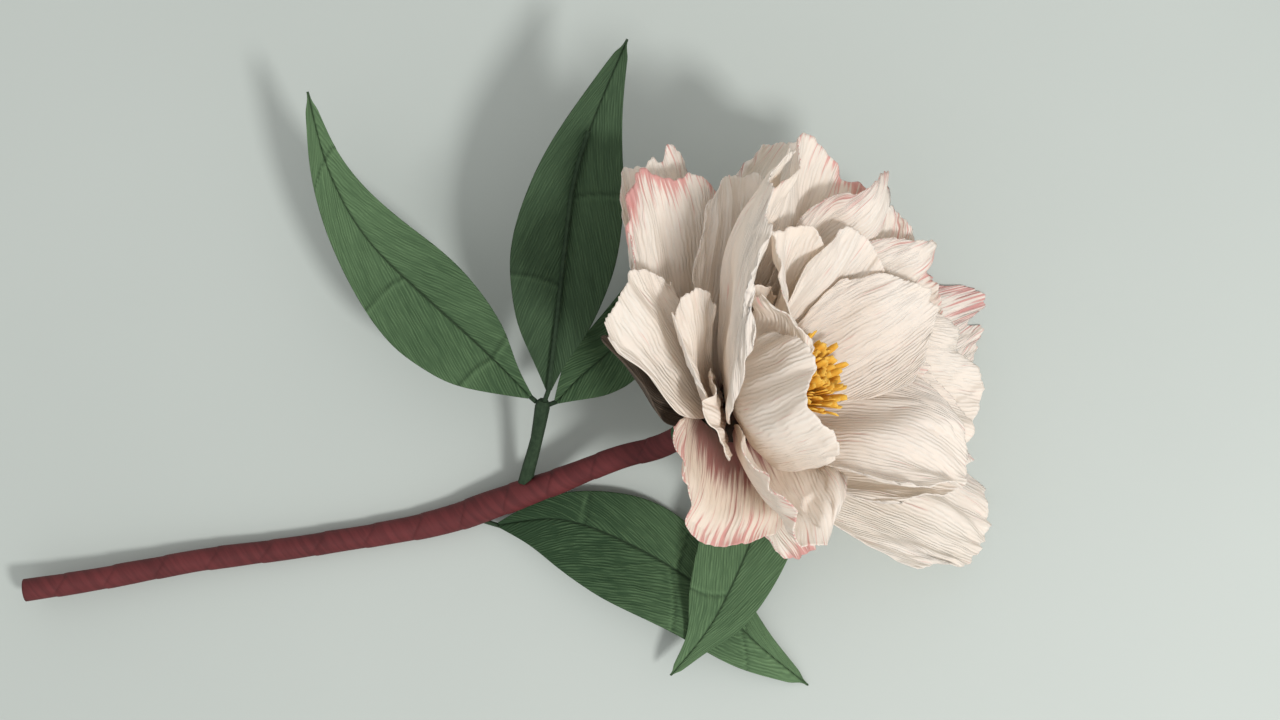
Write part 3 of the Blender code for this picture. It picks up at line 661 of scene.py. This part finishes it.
def kept_in_room(push, places, normals):
    """The push, cut down where a neighbour or the table is near."""
    inward = softened(room(places, normals), PETAL_GRID)
    outward = softened(room(places, -normals), PETAL_GRID)
    most = SHARE_OF_ROOM * np.maximum(inward - CLEARANCE, 0.0)
    least = -SHARE_OF_ROOM * np.maximum(outward - CLEARANCE, 0.0)
    return np.clip(push, least, most)


print("a petal has", PETAL_GRID[0] * PETAL_GRID[1], "points on each side")

# %% [markdown]
# The dye is two fields on the points. The pink fades in from the rim, in patches, and the burgundy fades
# out from the foot. The streaks that break both up are in the finish, where they can be finer than the
# points.

# %% Make the petals
STAIN_REACH = 15 * MM


def make_petal(node, seed):
    """One crinkled petal in the place of its node."""
    look = {**PLAIN, **LOOKS.get(node, {})}
    across, along = (field.ravel() for field in unit_grid(*PETAL_GRID))
    places = surface(CORNERS[node], *petal_cut(across, along, look, seed))
    normals = normals_of(places, PETAL_GRID)
    if np.mean((STAMEN_SIDE - places) @ normals.mean(axis=0)) < 0:
        normals = -normals
    flat_across, flat_along = flat_lengths(places, PETAL_GRID)
    push = petal_push(across, along, flat_across, flat_along, look, seed)
    push = kept_in_room(push, places, normals)
    places = above_table(places + normals * push[:, None], PAPER)
    piece = add_grid(node + "_crepe", places, PETAL_GRID)
    middle_face = piece.data.polygons[len(piece.data.polygons) // 2]
    if np.array(middle_face.normal) @ normals[len(normals) // 2] < 0:
        piece.data.flip_normals()
    set_paper(piece, flat_across + seed * 0.1, flat_along)
    to_tip = np.tile(flat_along[-PETAL_GRID[1] :], PETAL_GRID[0]) - flat_along
    patch = np.clip(0.75 + 0.9 * wave(across * 3.0, 0 * across, seed + 6.5), 0.15, 1.2)
    set_field(piece, "rim_tint", look["rim"] * patch * np.exp(-to_tip / (look["reach"] * MM)))
    set_field(piece, "foot_tint", look["foot"] * np.exp(-flat_along / STAIN_REACH))
    thicken(piece, PAPER)
    return piece


for number, node in enumerate(PETAL_NODES):
    dress(make_petal(node, number + 1.0), node, PETAL_CREPE)
print(len(PETAL_NODES), "petals made")

# %% [markdown]
# ## Sepals
# The sepals are the small olive leaves behind the bloom. They are made as the petals are, but they are
# cut cleanly and hardly ruffled, and their finish paints shade along a crease up the middle of each. The
# long one stands a little further from the bloom than its packed sheet does.

# %% Sepals
SEPAL_GRID = (40, 24)
CREASE_WIDTH = 0.5 * MM
LONG_SEPAL_LEAN = np.array([-0.75, -0.66, 0.0]) * 3.5 * MM


def make_sepal(node, seed):
    """One sepal in the place of its node."""
    across, along = (field.ravel() for field in unit_grid(*SEPAL_GRID))
    places = surface(CORNERS[node], across, along)
    normals = normals_of(places, SEPAL_GRID)
    flat_across, flat_along = flat_lengths(places, SEPAL_GRID)
    push = 0.25 * MM * wave(across * 2.0, along * 4, seed)
    places = places + normals * push[:, None]
    if node == "sepal_long":
        places += smooth_step(along, 0.0, 0.5)[:, None] * LONG_SEPAL_LEAN
    piece = add_grid(node + "_crepe", places, SEPAL_GRID)
    set_paper(piece, flat_across + seed * 0.1, flat_along)
    # Painted shade along the crease up the middle of the sepal.
    set_field(piece, "fold_and_shade", 0.8 * np.exp(-((flat_across / CREASE_WIDTH) ** 2)))
    thicken(piece, PAPER)
    return piece


for number, node in enumerate(SEPAL_NODES):
    dress(make_sepal(node, number + 40.0), node, SEPAL_CREPE)
print(len(SEPAL_NODES), "sepals made")

# %% [markdown]
# ## Leaves
# A leaf is two pieces of green crepe glued with their grains at an angle, so the wrinkles meet at the
# midrib in a row of arrows that point to the tip. The two halves get a spline each, because one spline
# over both would round off the crease between them. Short ridges run across the grain where the roll of
# paper had been folded.

# %% The looks of the leaves
SHIFT = np.array([36.79, 4.62, 0.05])  # from the table coordinates that the flower was laid out in, in mm
LEAVES = {
    # ridges are (side, distance from the foot in mm), and the painted light and shade is given at the foot
    # and at the tip
    "leaf_left": {
        "foot": (-31.5, -10.5, 24.5), "crepe": LEAF_CREPE, "waves": 0.7, "painted_shading": (0.0, 0.45),
        "ridges": ((1, 49), (1, 15), (-1, 15), (1, 89), (-1, 89)),
    },
    # The middle leaf has the darker copy of the leaf crepe, as painted shade.
    "leaf_middle": {
        "foot": (-26.0, -8.5, 27.0), "crepe": SHADED_LEAF_CREPE, "waves": 0.6, "painted_shading": (0.0, 0.25),
        "ridges": ((-1, 55), (1, 30)),
    },
    "leaf_right": {
        "foot": (-24.0, -12.0, 22.5), "crepe": LEAF_CREPE, "waves": 0.5, "painted_shading": (-0.1, 0.3),
        "ridges": ((1, 30),),
    },
    "leaf_low": {
        "foot": (-42.0, -49.0, 5.2), "crepe": LEAF_CREPE, "waves": 0.5, "painted_shading": (-0.45, 0.6),
        "ridges": ((1, 56), (-1, 54), (1, 25), (-1, 82), (1, 84)),
    },
    "leaf_twisted": {
        "foot": (40.5, -23.0, 17.0), "crepe": LEAF_CREPE, "waves": 0.6, "painted_shading": (0.05, 0.35),
        "ridges": ((1, 20), (-1, 48)),
    },
}
print(sum(len(look["ridges"]) for look in LEAVES.values()), "folds left by the roll")

# %% [markdown]
# A leaf's foot is told by its place, and its left and right by a level line across it. The last rows are
# narrowed, so that the blunt end of the packed sheet becomes a tip.

# %% The surface of a leaf
LEAF_GRID = (120, 25)  # rows, and columns on each side of the midrib
NEAR_FOOT = 3 * MM


def leaf_corners(node):
    """The corners of a leaf, with its rows running from the foot to the tip."""
    start = (np.array(LEAVES[node]["foot"]) + SHIFT) * MM
    places = merged_copy(node)[0]
    far = places[np.argmax(np.linalg.norm(places - start, axis=1))]
    side = np.cross((0.0, 0.0, 1.0), far - start)

    def at_foot(places):
        return np.linalg.norm(places - start, axis=1) < NEAR_FOOT

    return sheet_corners(node, at_foot, lambda places: places @ side)


def leaf_surface(corners):
    """Both halves of the leaf, each with a spline of its own, joined at the midrib."""
    rows, columns = LEAF_GRID
    middle = corners.shape[1] // 2
    across, along = unit_grid(rows, columns)
    point = 1 - 0.85 * smooth_step(along, 0.95, 1.0)
    left = surface(corners[:, : middle + 1], 1 - (1 - across) * point, along).reshape(rows, columns, 3)
    right = surface(corners[:, middle:], across * point, along).reshape(rows, columns, 3)
    return np.concatenate([left, right[:, 1:]], axis=1)


LEAF_SURFACES = {node: leaf_surface(leaf_corners(node)) for node in LEAVES}
print("a leaf's grid:", LEAF_SURFACES["leaf_left"].shape[:2])

# %% [markdown]
# The paper coordinates of a leaf run along its slanted grain: `grain` counts across the wrinkles and
# `run` along them. The folds of the roll lie square to the grain, so they are lines of equal `run`.

# %% Make the leaves
GRAIN = math.radians(20)
LEAF_PAPER = 0.5 * MM
MIDRIB_WIDTH, FOLD_WIDTH = 0.32 * MM, 0.9 * MM


def roll_folds(ridges, offset, run):
    """The folds left by the roll: a ridge beside a groove, on one side of the midrib."""
    folds = np.zeros(len(run))
    for side, at in ridges:
        away = (run - at * MM * math.cos(GRAIN)) / FOLD_WIDTH
        folds += np.where(np.sign(offset) == side, np.exp(-(away**2)) * -np.sin(away * 1.6), 0.0)
    return folds


def make_leaf(node, seed):
    """One creased leaf in the place of its node."""
    look = LEAVES[node]
    shape = LEAF_SURFACES[node].shape[:2]
    places = LEAF_SURFACES[node].reshape(-1, 3)
    normals = normals_of(places, shape)
    normals *= np.sign(normals[:, 2].mean())
    offset, length = flat_lengths(places, shape)
    reach = np.abs(offset)
    half = reach.reshape(shape).max(axis=1).repeat(shape[1]) + 1e-6
    grain = reach * math.cos(GRAIN) + length * math.sin(GRAIN)
    run = length * math.cos(GRAIN) - reach * math.sin(GRAIN)
    folds = roll_folds(look["ridges"], offset, run)
    midrib = np.exp(-((reach / MIDRIB_WIDTH) ** 2))
    edge = (reach / half) ** 2
    push = look["waves"] * MM * edge * wave(length / (16 * MM), offset / (30 * MM), seed)
    push += 0.22 * MM * wave(grain / (4 * MM), run / (40 * MM), seed + 2.0)
    push += 0.4 * MM * folds - 0.25 * MM * midrib
    piece = add_grid(node + "_crepe", above_table(places + normals * push[:, None], LEAF_PAPER), shape)
    if piece.data.polygons[len(piece.data.polygons) // 2].normal.z < 0:
        piece.data.flip_normals()
    set_paper(piece, grain + (offset > 0) * 0.3 + seed, run)
    # Painted shade in the midrib and in the groove of each roll fold, painted light on the ridge beside it.
    set_field(piece, "fold_and_shade", 0.72 * midrib - 0.9 * folds)
    # Painted light and shade along the leaf, from its value at the foot to that at the tip.
    at_foot, at_tip = look["painted_shading"]
    set_field(piece, "painted_shading", at_foot + (at_tip - at_foot) * length / length.max())
    thicken(piece, LEAF_PAPER)
    return piece


for number, node in enumerate(LEAVES):
    dress(make_leaf(node, number + 60.0), node, LEAVES[node]["crepe"])
print(len(LEAVES), "leaves made")

# %% [markdown]
# ## Stamens
# The stamens are one strip of amber crepe, cut into a fine fringe and wound round the tip of the core.
# Single rods would be simpler, but they wouldn't sit in a spiral with paper between their feet. So the
# strip is one grid with its slits taken out. Each tooth leans its own way, and its rolled tip is wider
# than its foot.

# %% The wound strip
TEETH = 130
TOOTH, SLIT = 1.0 * MM, 0.1 * MM
STRIP_START, STRIP_PITCH = 1.1 * MM, 0.54 * MM  # first radius, and growth in each turn
STRIP_FOOT, STRIP_HEIGHT = 6.9 * MM, 27.0 * MM
FRINGE_PAPER = 0.3 * MM
UNCUT = 0.23  # the share of the strip's height below the slits
FLARE, FLARE_RADIUS = 1.85, 6.5 * MM
SHORTER = 0.16  # the most that a tooth falls short
LEAN, SWAY, TWIST = 0.08, 0.05, 0.45  # how far the teeth stray from their places
LEAN_REACH = 9 * MM
LEVELS = (0.0, 0.12, 0.23, 0.36, 0.5, 0.63, 0.76, 0.87, 0.95, 1.0)
WIDTHS = (1.0, 1.0, 1.0, 1.05, 1.15, 1.3, 1.6, 1.85, 1.85, 1.3)  # of a tooth at each level


def strip_places():
    """Where each corner of the fringed strip is once the strip is wound."""
    chance = np.random.default_rng(7)
    growth = STRIP_PITCH / (2 * math.pi)
    middle = (np.arange(TEETH) + 0.5) * (TOOTH + SLIT)
    tall = 1 - SHORTER * chance.random(TEETH)
    lean, sway, twist = (chance.normal(0.0, size, TEETH) for size in (LEAN, SWAY, TWIST))
    rows = []
    for level, width in zip(LEVELS, WIDTHS):
        row = []
        for tooth in range(TEETH):
            turn = (math.sqrt(STRIP_START**2 + 2 * growth * middle[tooth]) - STRIP_START) / growth
            base = STRIP_START + growth * turn
            free = max(level - UNCUT, 0.0) / (1 - UNCUT)
            flared = base * (1 + FLARE * level**2 * base / FLARE_RADIUS)
            radius = flared + lean[tooth] * LEAN_REACH * free**1.5
            angle = turn + sway[tooth] * free
            spin = twist[tooth] * free
            out = np.array([math.cos(angle), math.sin(angle)])
            side = np.array([-out[1], out[0]]) * math.cos(spin) + out * math.sin(spin)
            height = STRIP_FOOT + STRIP_HEIGHT * level * (1 + (tall[tooth] - 1) * free)
            half = 0.5 * (TOOTH + (SLIT if level < 0.2 else 0.0)) * width
            for hand in (-1, 1):
                x, y = out * radius + side * half * hand
                row.append(BLOOM_CENTRE + x * ACROSS + y * UPWARD + height * BLOOM_AXIS)
        rows.append(row)
    return np.array(rows)


STRIP = strip_places()
print("the strip is", round(TEETH * (TOOTH + SLIT) / MM), "mm long before it is wound")

# %% [markdown]
# Between two teeth lies one column of faces. It is deleted from the third row up, which leaves the band
# that holds the teeth together.


# %% Make the stamens
def make_stamens():
    """The fringe in the place of its node."""
    shape = STRIP.shape[:2]
    piece = add_grid("stamen_fringe", STRIP.reshape(-1, 3), shape)
    across, along = (field.ravel() for field in unit_grid(*shape))
    set_paper(piece, across * TEETH * (TOOTH + SLIT), along * STRIP_HEIGHT)
    set_field(piece, "height", along)
    only(piece)
    bpy.ops.object.mode_set(mode="EDIT")
    bpy.ops.mesh.select_mode(type="FACE")
    bpy.ops.mesh.select_all(action="DESELECT")
    bpy.ops.object.mode_set(mode="OBJECT")
    cells = shape[1] - 1
    for face in piece.data.polygons:
        face.select = face.index % cells % 2 == 1 and face.index >= 2 * cells
    bpy.ops.object.mode_set(mode="EDIT")
    bpy.ops.mesh.delete(type="FACE")
    bpy.ops.object.mode_set(mode="OBJECT")
    thicken(piece, FRINGE_PAPER)
    return piece


def stamen_finish():
    """Amber crepe, with painted shade deep in the fringe and brighter at the tips of the teeth."""
    crepe = Finish("stamen_crepe")
    grain = crepe.paper_noise((1500.0, 90.0), detail=2.0)
    clouds = crepe.object_noise(220.0)
    height = crepe.attribute("height")
    amber = crepe.mix(clouds.between(0.3, 0.7), (0.80, 0.40, 0.04), (0.95, 0.58, 0.08))
    # Painted shade: the strip darkens towards its foot, deep in the fringe.
    colour = crepe.mix(height.between(0.2, 0.75), (0.48, 0.18, 0.02), amber)
    inputs = {
        "Base Color": crepe.mix(height.between(0.9, 1.0) * 0.7, colour, (0.93, 0.60, 0.12)),
        "Roughness": 0.75,
        "Specular IOR Level": 0.3,
        "Normal": crepe.bump(grain, 0.0003, 0.7),
    }
    return crepe.surface(inputs, glow=(0.95, 0.55, 0.10), glow_share=0.15)


dress(make_stamens(), "stamens", stamen_finish())
print("stamens:", TEETH, "teeth")

# %% [markdown]
# ## Stem
# The wire is covered by a strip of burgundy crepe that winds up it on a slant. A grid is rolled into a
# tube round the stem's line, and its radius falls a little from one edge of the strip to the other, so
# each turn laps over the last. A Screw modifier could wind a real strip, but only round a straight stem.

# %% The line of the stem
STEM_ROUTE = (
    (-181.5, -68.0, 8.6),
    (-159.6, -64.7, 6.8),
    (-130.5, -59.5, 5.0),
    (-101.0, -55.6, 3.8),
    (-71.4, -50.8, 3.6),
    (-56.5, -47.4, 3.8),
    (-41.5, -42.1, 5.8),
    (-23.5, -35.3, 10.8),
    (-5.8, -28.2, 17.8),
)
NECK = BLOOM_CENTRE - BLOOM_AXIS * 21.5 * MM
NECK_LEAD = 9 * MM  # the stem runs straight into the bloom over this length
STEM_GRID = (420, 33)  # rings, and points on each


def through(points, count):
    """A Catmull-Rom line through the points."""
    points = np.array(points)
    ends = np.vstack([2 * points[0] - points[1], points, 2 * points[-1] - points[-2]])
    at = np.linspace(0, len(points) - 1, count)
    low = np.minimum(at.astype(int), len(points) - 2)
    t = (at - low)[:, None]
    a, b, c, d = (ends[low + k] for k in range(4))
    return 0.5 * (
        2 * b + (c - a) * t + (2 * a - 5 * b + 4 * c - d) * t**2 + (3 * b - a - 3 * c + d) * t**3
    )


ROUTE = [(np.array(point) + SHIFT) * MM for point in STEM_ROUTE]
LINE = through([*ROUTE, NECK - BLOOM_AXIS * NECK_LEAD, NECK], STEM_GRID[0])
STEPS = np.linalg.norm(np.diff(LINE, axis=0), axis=1)
LENGTH = np.concatenate([[0.0], np.cumsum(STEPS)])
print("the stem is", round(LENGTH[-1] / MM), "mm long")

# %% [markdown]
# The strip's place on the stem is a winding number that grows along the stem and round it. Its whole part
# counts the turns, and the rest, `lap`, says how far across the strip a point lies.

# %% Wind the strip
WRAP_PITCH = 15.0 * MM
LAP_HEIGHT = 0.22 * MM
# The second share is the width of the painted shade along each lap.
SEAM_RISE, SEAM_SHADE_WIDTH = 0.06, 0.035  # shares of the strip's width
STEM_RADIUS = 3.3  # in mm
BINDING_RADIUS, BINDING_PLACE, BINDING_SPREAD = 4.3, 0.68, 0.12  # where the leaf stalks are bound in
WALL = 1.0 * MM
WALL_INSET = 0.6 * MM  # from the wound stem's radius to the middle of the wall


def stem_radius(share):
    """The wound stem's radius: thicker where the leaf stalks are bound in."""
    taper = STEM_RADIUS + 0.1 * share
    binding = np.exp(-(((share - BINDING_PLACE) / BINDING_SPREAD) ** 2))
    return (taper + (BINDING_RADIUS - taper) * binding) * MM


def stem_winding(turn):
    """How many turns of the strip lie below each point. Hand-wound turns are a little uneven."""
    winding = LENGTH[:, None] / WRAP_PITCH + turn[None, :] / (2 * math.pi) + 0.35 * np.cos(turn)[None, :]
    return winding + 0.08 * np.sin(LENGTH[:, None] * 47)


def wound_places(turn, lap):
    """The middle of the strip's wall, ring by ring."""
    ahead = np.gradient(LINE, axis=0)
    ahead /= np.linalg.norm(ahead, axis=1)[:, None]
    side = np.cross(ahead, (0.0, 0.0, 1.0))
    side /= np.linalg.norm(side, axis=1)[:, None]
    upper = np.cross(side, ahead)
    seam = smooth_step(lap, 0.0, SEAM_RISE) - lap
    radius = stem_radius(LENGTH / LENGTH[-1])[:, None] + LAP_HEIGHT * seam - WALL_INSET
    along, around = np.broadcast_arrays(LENGTH[:, None] / (14 * MM), np.cos(turn))
    radius = radius + 0.12 * MM * wave(along.ravel(), around.ravel(), 3.3).reshape(STEM_GRID)
    radius[:, -1] = radius[:, 0]
    outward = np.cos(turn)[None, :, None] * side[:, None] + np.sin(turn)[None, :, None] * upper[:, None]
    return LINE[:, None] + radius[:, :, None] * outward


TURN = np.linspace(0, 2 * math.pi, STEM_GRID[1])
LAP = stem_winding(TURN) % 1.0
print("the stem's strip has about", round(LENGTH[-1] / WRAP_PITCH), "turns")

# %% [markdown]
# The first and last columns of the grid lie on each other, so merging them closes the tube before it gets
# its wall. The finish is crepe that is pulled almost flat, with a little painted shade along the laps.


# %% Make the stem
def make_wrap():
    """The wound strip in the place of the sleeve."""
    places = above_table(wound_places(TURN, LAP), WALL)
    piece = add_grid("stem_wrap", places.reshape(-1, 3), STEM_GRID)
    around = np.broadcast_to(TURN[None, :] * STEM_RADIUS * MM, STEM_GRID)
    along = np.broadcast_to(LENGTH[:, None], STEM_GRID) + around * 0.5
    set_paper(piece, along.ravel(), around.ravel())
    # Painted shade along the edge of each lap.
    set_field(piece, "seam", np.exp(-((np.minimum(LAP, 1 - LAP) / SEAM_SHADE_WIDTH) ** 2)).ravel())
    only(piece)
    bpy.ops.object.mode_set(mode="EDIT")
    bpy.ops.mesh.select_all(action="SELECT")
    bpy.ops.mesh.remove_doubles(threshold=1e-6)
    bpy.ops.mesh.normals_make_consistent(inside=False)
    bpy.ops.object.mode_set(mode="OBJECT")
    thicken(piece, WALL)
    return piece


def wrap_finish():
    """Stretched crepe round a wire: its grain is almost pulled flat."""
    dark, light = (0.076, 0.012, 0.0135), (0.132, 0.0225, 0.0245)
    crepe = Finish("stem_crepe")
    wrinkles = crepe.paper_noise((500.0, 60.0))
    clouds = crepe.object_noise(60.0)
    # The seam field paints shade along the edge of each lap.
    seam = crepe.attribute("seam")
    colour = crepe.mix(wrinkles.between(0.3, 0.7) * 0.6 + clouds.between(0.3, 0.7) * 0.4, dark, light)
    inputs = {
        "Base Color": crepe.mix(seam * 0.22, colour, tuple(0.4 * c for c in dark)),
        "Roughness": 0.7,
        "Specular IOR Level": 0.35,
        "Normal": crepe.bump(wrinkles - seam * 0.6, 0.00025, 0.6),
    }
    return crepe.surface(inputs)


dress(make_wrap(), "stem_sleeve", wrap_finish())

# %% [markdown]
# ## The packed pieces that stay
# The core, the calyx, the wire, the stalk and the leaf wires are small or mostly hidden, and their packed
# shapes are right. They only get finishes, on Object coordinates, because they have no paper coordinates.


# %% Finishes of the packed pieces
def bound_finish(name, dark, light):
    """Paper tape wound round a small part."""
    tape = Finish(name)
    fine = tape.object_noise(700.0)
    broad = tape.object_noise(120.0, detail=2.0)
    shade = fine.between(0.3, 0.7) * 0.6 + broad.between(0.3, 0.7) * 0.4
    inputs = {
        "Base Color": tape.mix(shade, dark, light),
        "Roughness": 0.8,
        "Specular IOR Level": 0.3,
        "Normal": tape.bump(fine + broad, 0.0003, 0.7),
    }
    return tape.surface(inputs)


def wire_finish():
    """Drawn steel with a fine lengthwise grain."""
    wire = Finish("drawn_wire")
    grain = wire.object_noise(900.0, stretch=(0.1, 1.0, 1.0))
    inputs = {
        "Base Color": wire.mix(grain, (0.30, 0.30, 0.31), (0.50, 0.50, 0.50)),
        "Metallic": 1.0,
        "Roughness": grain * 0.25 + 0.3,
        "Normal": wire.bump(grain, 0.0001, 0.4),
    }
    return wire.surface(inputs)


STAINED_TAPE = bound_finish("stained_tape", (0.022, 0.026, 0.015), (0.075, 0.035, 0.028))
CALYX_CREPE = bound_finish("calyx_crepe", (0.015, 0.055, 0.022), (0.045, 0.115, 0.045))
LEAF_BINDING = bound_finish("leaf_binding", (0.011, 0.027, 0.011), (0.028, 0.054, 0.026))
KEPT = {
    "petal_core": STAINED_TAPE,
    "calyx": CALYX_CREPE,
    "stem_wire": wire_finish(),
    "leaf_stalk": LEAF_BINDING,
}
KEPT.update({name: LEAF_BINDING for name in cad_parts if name.endswith("_rib")})
for name, material in KEPT.items():
    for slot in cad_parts[name].material_slots:
        slot.material = material
print("packed pieces with new finishes:", sorted(KEPT))

# %% [markdown]
# ## Table and light
# The flower lies on a plain pale table under one soft round lamp from the lower right, and even light
# from all round lifts the shadows.

# %% Table
bpy.ops.object.select_all(action="DESELECT")
bpy.ops.mesh.primitive_plane_add(size=8.0)
table = bpy.context.active_object
table.name = "table"
top = Finish("table_top")
top_colour = top.mix(top.object_noise(6.0), (0.455, 0.50, 0.475), (0.50, 0.545, 0.52))
table.data.materials.append(top.surface({"Base Color": top_colour, "Roughness": 0.6}))
print("table", table.dimensions[:2])

# %% [markdown]
# What the camera sees beyond the table is white, while the light on the flower comes from a dimmer,
# slightly warm world. A Light Path node chooses between the two.

# %% Lamp and world
LAMP_FROM, LAMP_DISTANCE = Vector((0.459, -0.344, 0.819)), 1.3
lamp = bpy.data.lights.new("soft_lamp", "AREA")
lamp.shape, lamp.size, lamp.energy, lamp.color = "DISK", 0.24, 9.3, (1.0, 0.985, 0.965)
lamp_holder = bpy.data.objects.new("soft_lamp", lamp)
lamp_holder.location = LAMP_FROM * LAMP_DISTANCE
lamp_holder.rotation_mode = "QUATERNION"
lamp_holder.rotation_quaternion = LAMP_FROM.to_track_quat("Z", "Y")
bpy.context.scene.collection.objects.link(lamp_holder)

world = bpy.data.worlds.new("room")
bpy.context.scene.world = world
world.use_nodes = True
sky = world.node_tree
sky.nodes.clear()
choose = sky.nodes.new("ShaderNodeMixShader")
path = sky.nodes.new("ShaderNodeLightPath")
sky.links.new(path.outputs["Is Camera Ray"], choose.inputs[0])
WARM, WHITE = (1.0, 0.99, 0.975, 1.0), (1.0, 1.0, 1.0, 1.0)
for place, colour, strength in ((1, WARM, 0.71), (2, WHITE, 1.0)):
    background = sky.nodes.new("ShaderNodeBackground")
    background.inputs["Color"].default_value = colour
    background.inputs["Strength"].default_value = strength
    sky.links.new(background.outputs[0], choose.inputs[place])
out = sky.nodes.new("ShaderNodeOutputWorld")
sky.links.new(choose.outputs[0], out.inputs["Surface"])
print("lamp at", [round(x, 2) for x in lamp_holder.location])

# %% [markdown]
# ## Camera
# The camera looks straight down at the table from about half a metre, with a normal lens.

# %% Camera
lens = bpy.data.cameras.new("camera")
lens.lens, lens.sensor_width, lens.clip_start, lens.clip_end = 50.0, 36.0, 0.01, 20.0
camera = bpy.data.objects.new("camera", lens)
camera.location = Vector((36.79, 4.62, 533.35)) * MM
bpy.context.scene.collection.objects.link(camera)
bpy.context.scene.camera = camera
bpy.context.scene.view_settings.view_transform = "Standard"
print("camera", camera.location[:])

# %% [markdown]
# The dressed flower has to stay within a small margin of the packed part's box.
